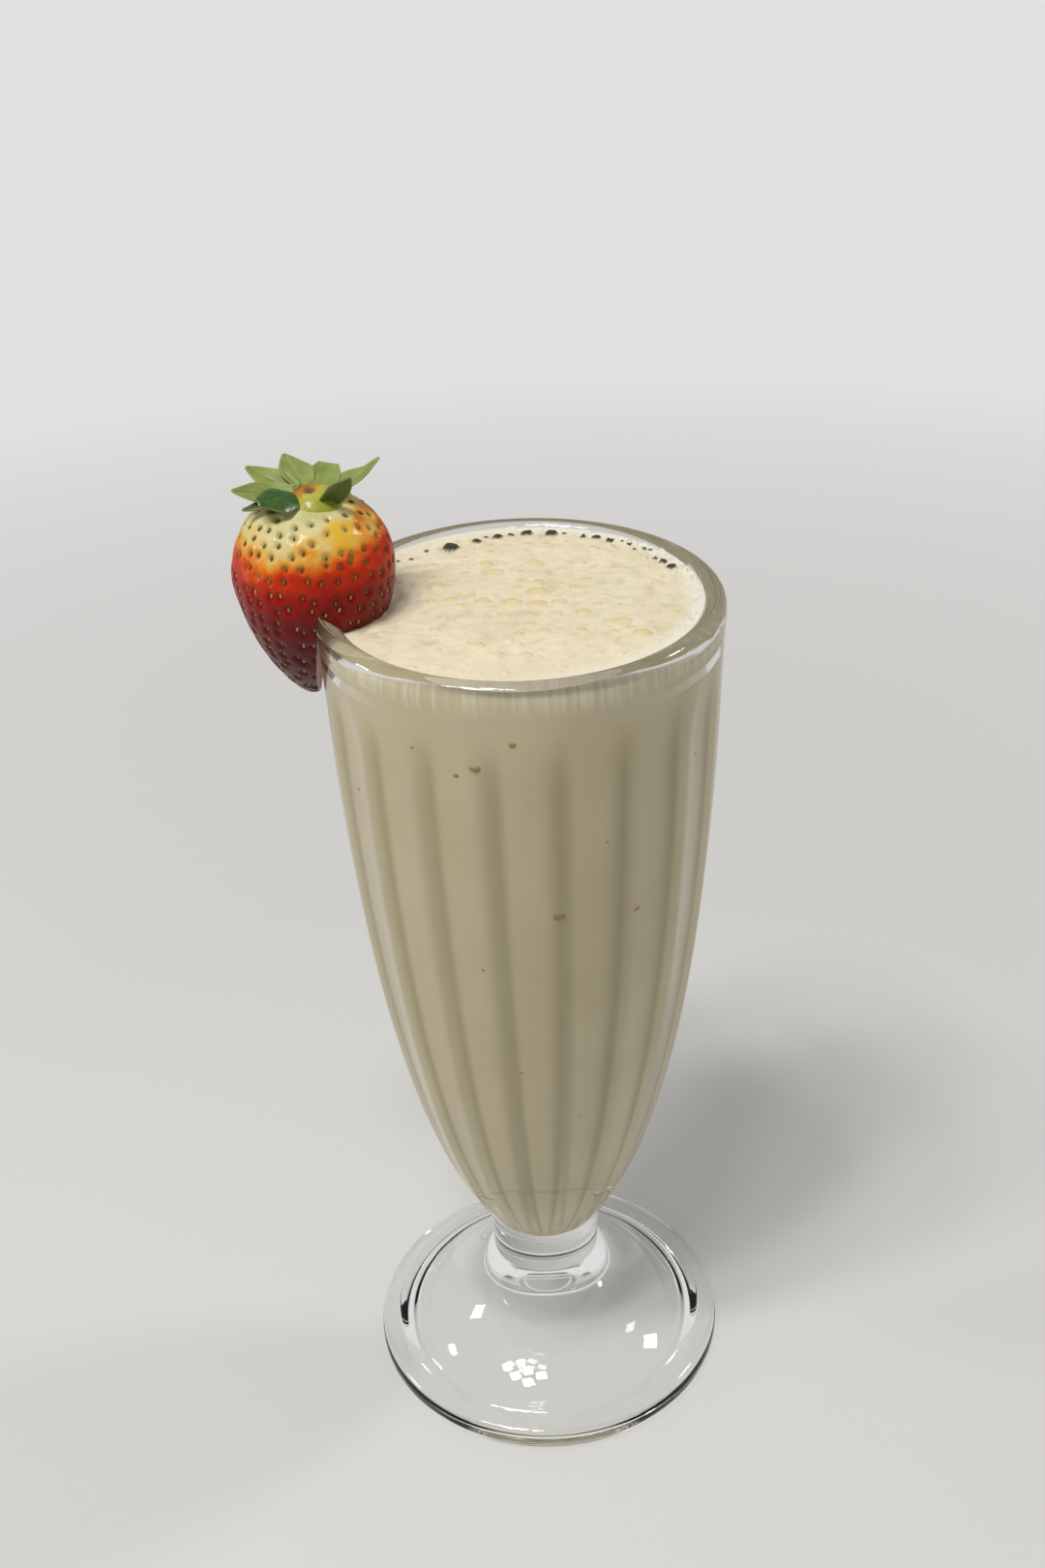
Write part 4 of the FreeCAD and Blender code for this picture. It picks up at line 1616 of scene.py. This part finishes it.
@dataclass
class Calyx:
    """The ring of leaves round the stalk's scar, on the crown of the berry."""

    berry: Strawberry
    hull_radius: float = 5.6
    hull_height: float = 2.0
    hull_sink: float = 1.0
    root_radius: float = 3.6
    root_rise: float = 0.55
    thickness: float = 0.42
    leaves: tuple[Leaf, ...] = (
        Leaf(184.0, 11.5, 5.4, 3.4, 0.4, -7.0, 26.0, cup=0.7, twist=-10.0, roll=-24.0),
        Leaf(156.0, 10.8, 5.8, 3.4, 0.4, 1.0, 30.0, cup=0.6, twist=-8.0, roll=-16.0),
        Leaf(124.0, 8.6, 7.0, 4.0, 0.4, 12.0, 28.0, cup=0.9),
        Leaf(78.0, 6.4, 6.6, 4.6, 4.0, 12.0, 40.0, cup=0.4),
        Leaf(40.0, 9.0, 4.6, 3.8, 0.4, 7.4, 32.0, cup=0.5),
        Leaf(12.0, 10.9, 4.2, 3.6, 0.4, 30.0, 34.0, cup=0.5),
        Leaf(323.0, 9.0, 4.8, 4.4, 0.4, 58.0, -30.0, Side.SHADED, cup=-0.7, roll=-36.0),
        Leaf(216.0, 8.2, 7.6, 3.8, 1.6, 22.0, -17.0, Side.GLOSSY, cup=-0.8, roll=-16.0),
        Leaf(197.0, 10.3, 4.0, 3.0, 0.4, -16.0, 60.0, Side.SHADED, cup=0.4),
    )
    leaf_finish: LeafFinish = field(default_factory=LeafFinish)
    scar_finish: ScarFinish = field(default_factory=ScarFinish)

    @staticmethod
    def half_width(leaf: Leaf, share: float) -> float:
        """Half the width of a leaf at a share of its length.

        Args:
            leaf: The leaf.
            share: From 0 at its root to 1 at its tip.

        Returns:
            The half width in millimetres.
        """
        belly = 0.42
        if share < belly:
            rise = math.sin(math.pi / 2 * share / belly)
            return (leaf.root + (leaf.width - leaf.root) * rise) / 2
        fall = (share - belly) / (1 - belly)
        return (leaf.tip + (leaf.width - leaf.tip) * (1 - fall ** 1.55)) / 2

    def build_leaf(self, leaf: Leaf) -> Piece:
        """Models one leaf from a grid: outlined, cupped, curled, thickened and rounded.

        Args:
            leaf: Where the leaf grows, its sizes and how it bends.

        Returns:
            The leaf in its place on the berry.
        """
        deselect()
        bpy.ops.mesh.primitive_grid_add(x_subdivisions=18, y_subdivisions=10,
                                        size=leaf.length * MM,
                                        location=(leaf.length / 2 * MM, 0, 0))
        blade = name_piece("leaf")
        settle(blade)
        flat = places(blade)
        x, share, across = flat[:, 0], flat[:, 0] / leaf.length, flat[:, 1] / leaf.length * 2
        half = np.array([self.half_width(leaf, float(s)) for s in share])
        y, bend = across * half, abs(leaf.curl)
        rise = math.copysign(1, leaf.curl) * (bend - np.sqrt(bend * bend - x * x))
        ripple = 0.16 * np.sin(share * 9 + leaf.azimuth) * np.abs(across) ** 2
        rise = rise + leaf.cup * (across ** 2) * half * 0.3 + ripple
        turn = np.radians(leaf.twist) * share
        push(blade, y * np.cos(turn) - flat[:, 1], "Y")
        push(blade, rise + y * np.sin(turn), "Z")
        vein = np.exp(-(across / 0.10) ** 2)
        ribs = np.clip(np.cos((share * 7 - np.abs(across) * 1.6) * 2 * math.pi), 0, 1) ** 4 * 0.5
        paint(blade, "vein", 1 - np.maximum(vein, ribs * (1 - np.abs(across))))
        rim = np.clip((np.maximum(np.abs(across), share ** 6) - 0.86) * 7, 0, 1)
        paint(blade, "edge", rim * 0.35)
        # the side's tone: how far the leaf is darkened, partly its own green and partly painted
        # shade
        paint(blade, "tone", np.full(len(share), leaf.side.value))
        apply_modifier(blade, "SOLIDIFY", thickness=self.thickness * MM, offset=0.0)
        subdivide_smoothly(blade)
        root = Vector((self.root_radius, 0, self.berry.shoulder + self.root_rise)) * MM
        blade.matrix_world = (self.berry.placing
                              @ Matrix.Rotation(math.radians(leaf.azimuth), 4, "Z")
                              @ Matrix.Translation(root)
                              @ Matrix.Rotation(-math.radians(leaf.lift), 4, "Y")
                              @ Matrix.Rotation(math.radians(leaf.roll), 4, "X"))
        settle(blade)
        return blade

    def build_scar(self) -> Piece:
        """Models the low, uneven dome where the stalk came away.

        Returns:
            The scar in its place.
        """
        top = self.berry.shoulder + self.hull_height
        rim_z = self.berry.shoulder - self.hull_sink
        dome = dome_stations(self.hull_radius, top - rim_z, top, 12)
        base = [(self.hull_radius * 0.9, rim_z - 1.2), (self.hull_radius * 0.4, rim_z - 1.6)]
        scar = turned("stalk_scar", dome + base, 40)
        subdivide_smoothly(scar)
        points = places(scar)
        lumps = 0.22 * noise_at(points, 2.6, 2.0) + 0.1 * noise_at(points, 1.1, 4.0)
        around = np.hypot(points[:, 0] + 0.9, points[:, 1] + 0.6)
        push(scar, np.where(points[:, 2] > rim_z, lumps - 0.55 * hump(around, 1.6), 0.0))
        specks = np.clip(noise_at(points, 0.7, 7.0) * 3 - 0.8, 0, 1)
        front = np.clip((-points[:, 1] - 2.8) / 1.5, 0, 1)
        paint(scar, "ripe", np.clip(0.5 - points[:, 0] / 9 + points[:, 1] / 14, 0, 1))
        paint(scar, "heart", np.clip(hump(around, 1.5) * 0.9 + specks * front, 0, 1))
        scar.matrix_world = self.berry.placing
        settle(scar)
        smooth(scar, 60)
        dress(scar, self.scar_finish.make())
        return scar

    def build(self) -> list[Piece]:
        """Models and dresses the leaves and the scar.

        Returns:
            The two pieces.
        """
        leaves = join([self.build_leaf(leaf) for leaf in self.leaves], "strawberry_leaves")
        smooth(leaves, 60)
        dress(leaves, self.leaf_finish.make())
        made = [leaves, self.build_scar()]
        for piece in made:
            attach(piece, "root")
        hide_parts("strawberry_calyx")
        return made


# ------------------------------------------------------------------ the studio

@dataclass
class Studio:
    """A plain pale floor, soft lamps and the camera. Sizes in metres and degrees."""

    camera_place: Place = (0.0, -0.3199, 0.3422)
    pitch: float = 30.49
    roll: float = -2.42
    yaw: float = -0.19
    lens: float = 41.36
    key_lamps: tuple[Station, ...] = (
        (-0.46, -0.30), (-0.36, -0.44), (-0.33, -0.26),
        (-0.24, -0.38), (-0.19, -0.24), (-0.10, -0.36))
    key_height: float = 1.05
    key_size: float = 0.09
    key_power: float = 6.6
    aim: Place = (0.0, 0.0, 0.12)
    sky: Colour = (0.93, 0.93, 0.92)
    lamp_colour: Colour = (1.0, 0.98, 0.95)
    fill: float = 0.31
    backdrop: float = 0.81
    floor_finish: FloorFinish = field(default_factory=FloorFinish)

    def build_floor(self) -> None:
        """Lays the floor."""
        deselect()
        bpy.ops.mesh.primitive_plane_add(size=12.0, location=(0, 3.0, 0))
        floor = name_piece("studio_floor")
        settle(floor)
        dress(floor, self.floor_finish.make())

    def build_camera(self) -> None:
        """Places the camera by its pitch, roll and yaw."""
        e, r, y = (math.radians(v) for v in (self.pitch, self.roll, self.yaw))
        ahead = Vector((math.sin(y) * math.cos(e), math.cos(y) * math.cos(e), -math.sin(e)))
        right = Vector((math.cos(y), -math.sin(y), 0))
        up = right.cross(ahead)
        right_rolled = right * math.cos(r) + up * math.sin(r)
        up_rolled = up * math.cos(r) - right * math.sin(r)
        turn = Matrix((right_rolled, up_rolled, -ahead)).transposed().to_4x4()
        data = bpy.data.cameras.new("camera")
        data.lens = self.lens
        data.sensor_width = 36.0
        data.clip_start = 0.01
        data.clip_end = 50.0
        camera = bpy.data.objects.new("camera", data)
        camera.matrix_world = Matrix.Translation(self.camera_place) @ turn
        bpy.context.scene.collection.objects.link(camera)
        bpy.context.scene.camera = camera

    def add_lamp(self, name: str, place: Place, size: float, power: float) -> None:
        """Adds a soft square lamp that faces the object.

        Args:
            name: The lamp's name.
            place: Where it hangs, in metres.
            size: Length of its side, in metres.
            power: Its power in watts.
        """
        data = bpy.data.lights.new(name, "AREA")
        data.size = size
        data.energy = power
        data.color = self.lamp_colour
        lamp = bpy.data.objects.new(name, data)
        lamp.location = place
        lamp.rotation_mode = "QUATERNION"
        lamp.rotation_quaternion = (Vector(self.aim) - Vector(place)).to_track_quat("-Z", "Y")
        bpy.context.scene.collection.objects.link(lamp)

    def build_light(self) -> None:
        """Hangs the lamps and sets the world's soft light."""
        power = self.key_power / len(self.key_lamps)
        for number, (x, y) in enumerate(self.key_lamps, 1):
            self.add_lamp(f"key_lamp_{number}", (x, y, self.key_height), self.key_size, power)
        self.add_lamp("side_lamp", (-0.95, 0.05, 0.45), 0.16, 1.3)
        self.add_lamp("right_lamp", (0.75, 0.25, 0.85), 0.14, 1.7)
        world = bpy.data.worlds.new("studio_world")
        bpy.context.scene.world = world
        world.use_nodes = True
        tree = world.node_tree
        sky = tree.nodes["Background"]
        sky.inputs["Color"].default_value = (*self.sky, 1)
        added = add_node(tree, "ShaderNodeValue")
        added.outputs[0].default_value = self.backdrop - self.fill
        both = add_node(tree, "ShaderNodeMath", operation="ADD")
        both.inputs[0].default_value = self.fill
        tree.links.new(seen_directly(tree, added.outputs[0]), both.inputs[1])
        tree.links.new(both.outputs[0], sky.inputs["Strength"])

    def build(self) -> None:
        """Builds the studio and sets how colours are shown."""
        self.build_floor()
        self.build_camera()
        self.build_light()
        bpy.context.scene.view_settings.view_transform = "Standard"


# ------------------------------------------------------------------ the whole

def report(pieces: Sequence[Piece]) -> None:
    """Logs each piece with its face count."""
    for piece in pieces:
        log.info("%s: %d faces", piece.name, len(piece.data.polygons))


def main() -> None:
    """Builds the studio, the glass, the drink and the garnish, in that order."""
    logging.basicConfig(level=logging.INFO, format="%(name)s %(message)s")
    Studio().build()
    glass = FlutedGlass()
    report([glass.build()])
    report(Drink(glass).build())
    berry = Strawberry(glass)
    report(berry.build())
    report(Calyx(berry).build())


if __name__ == "__main__":
    main()
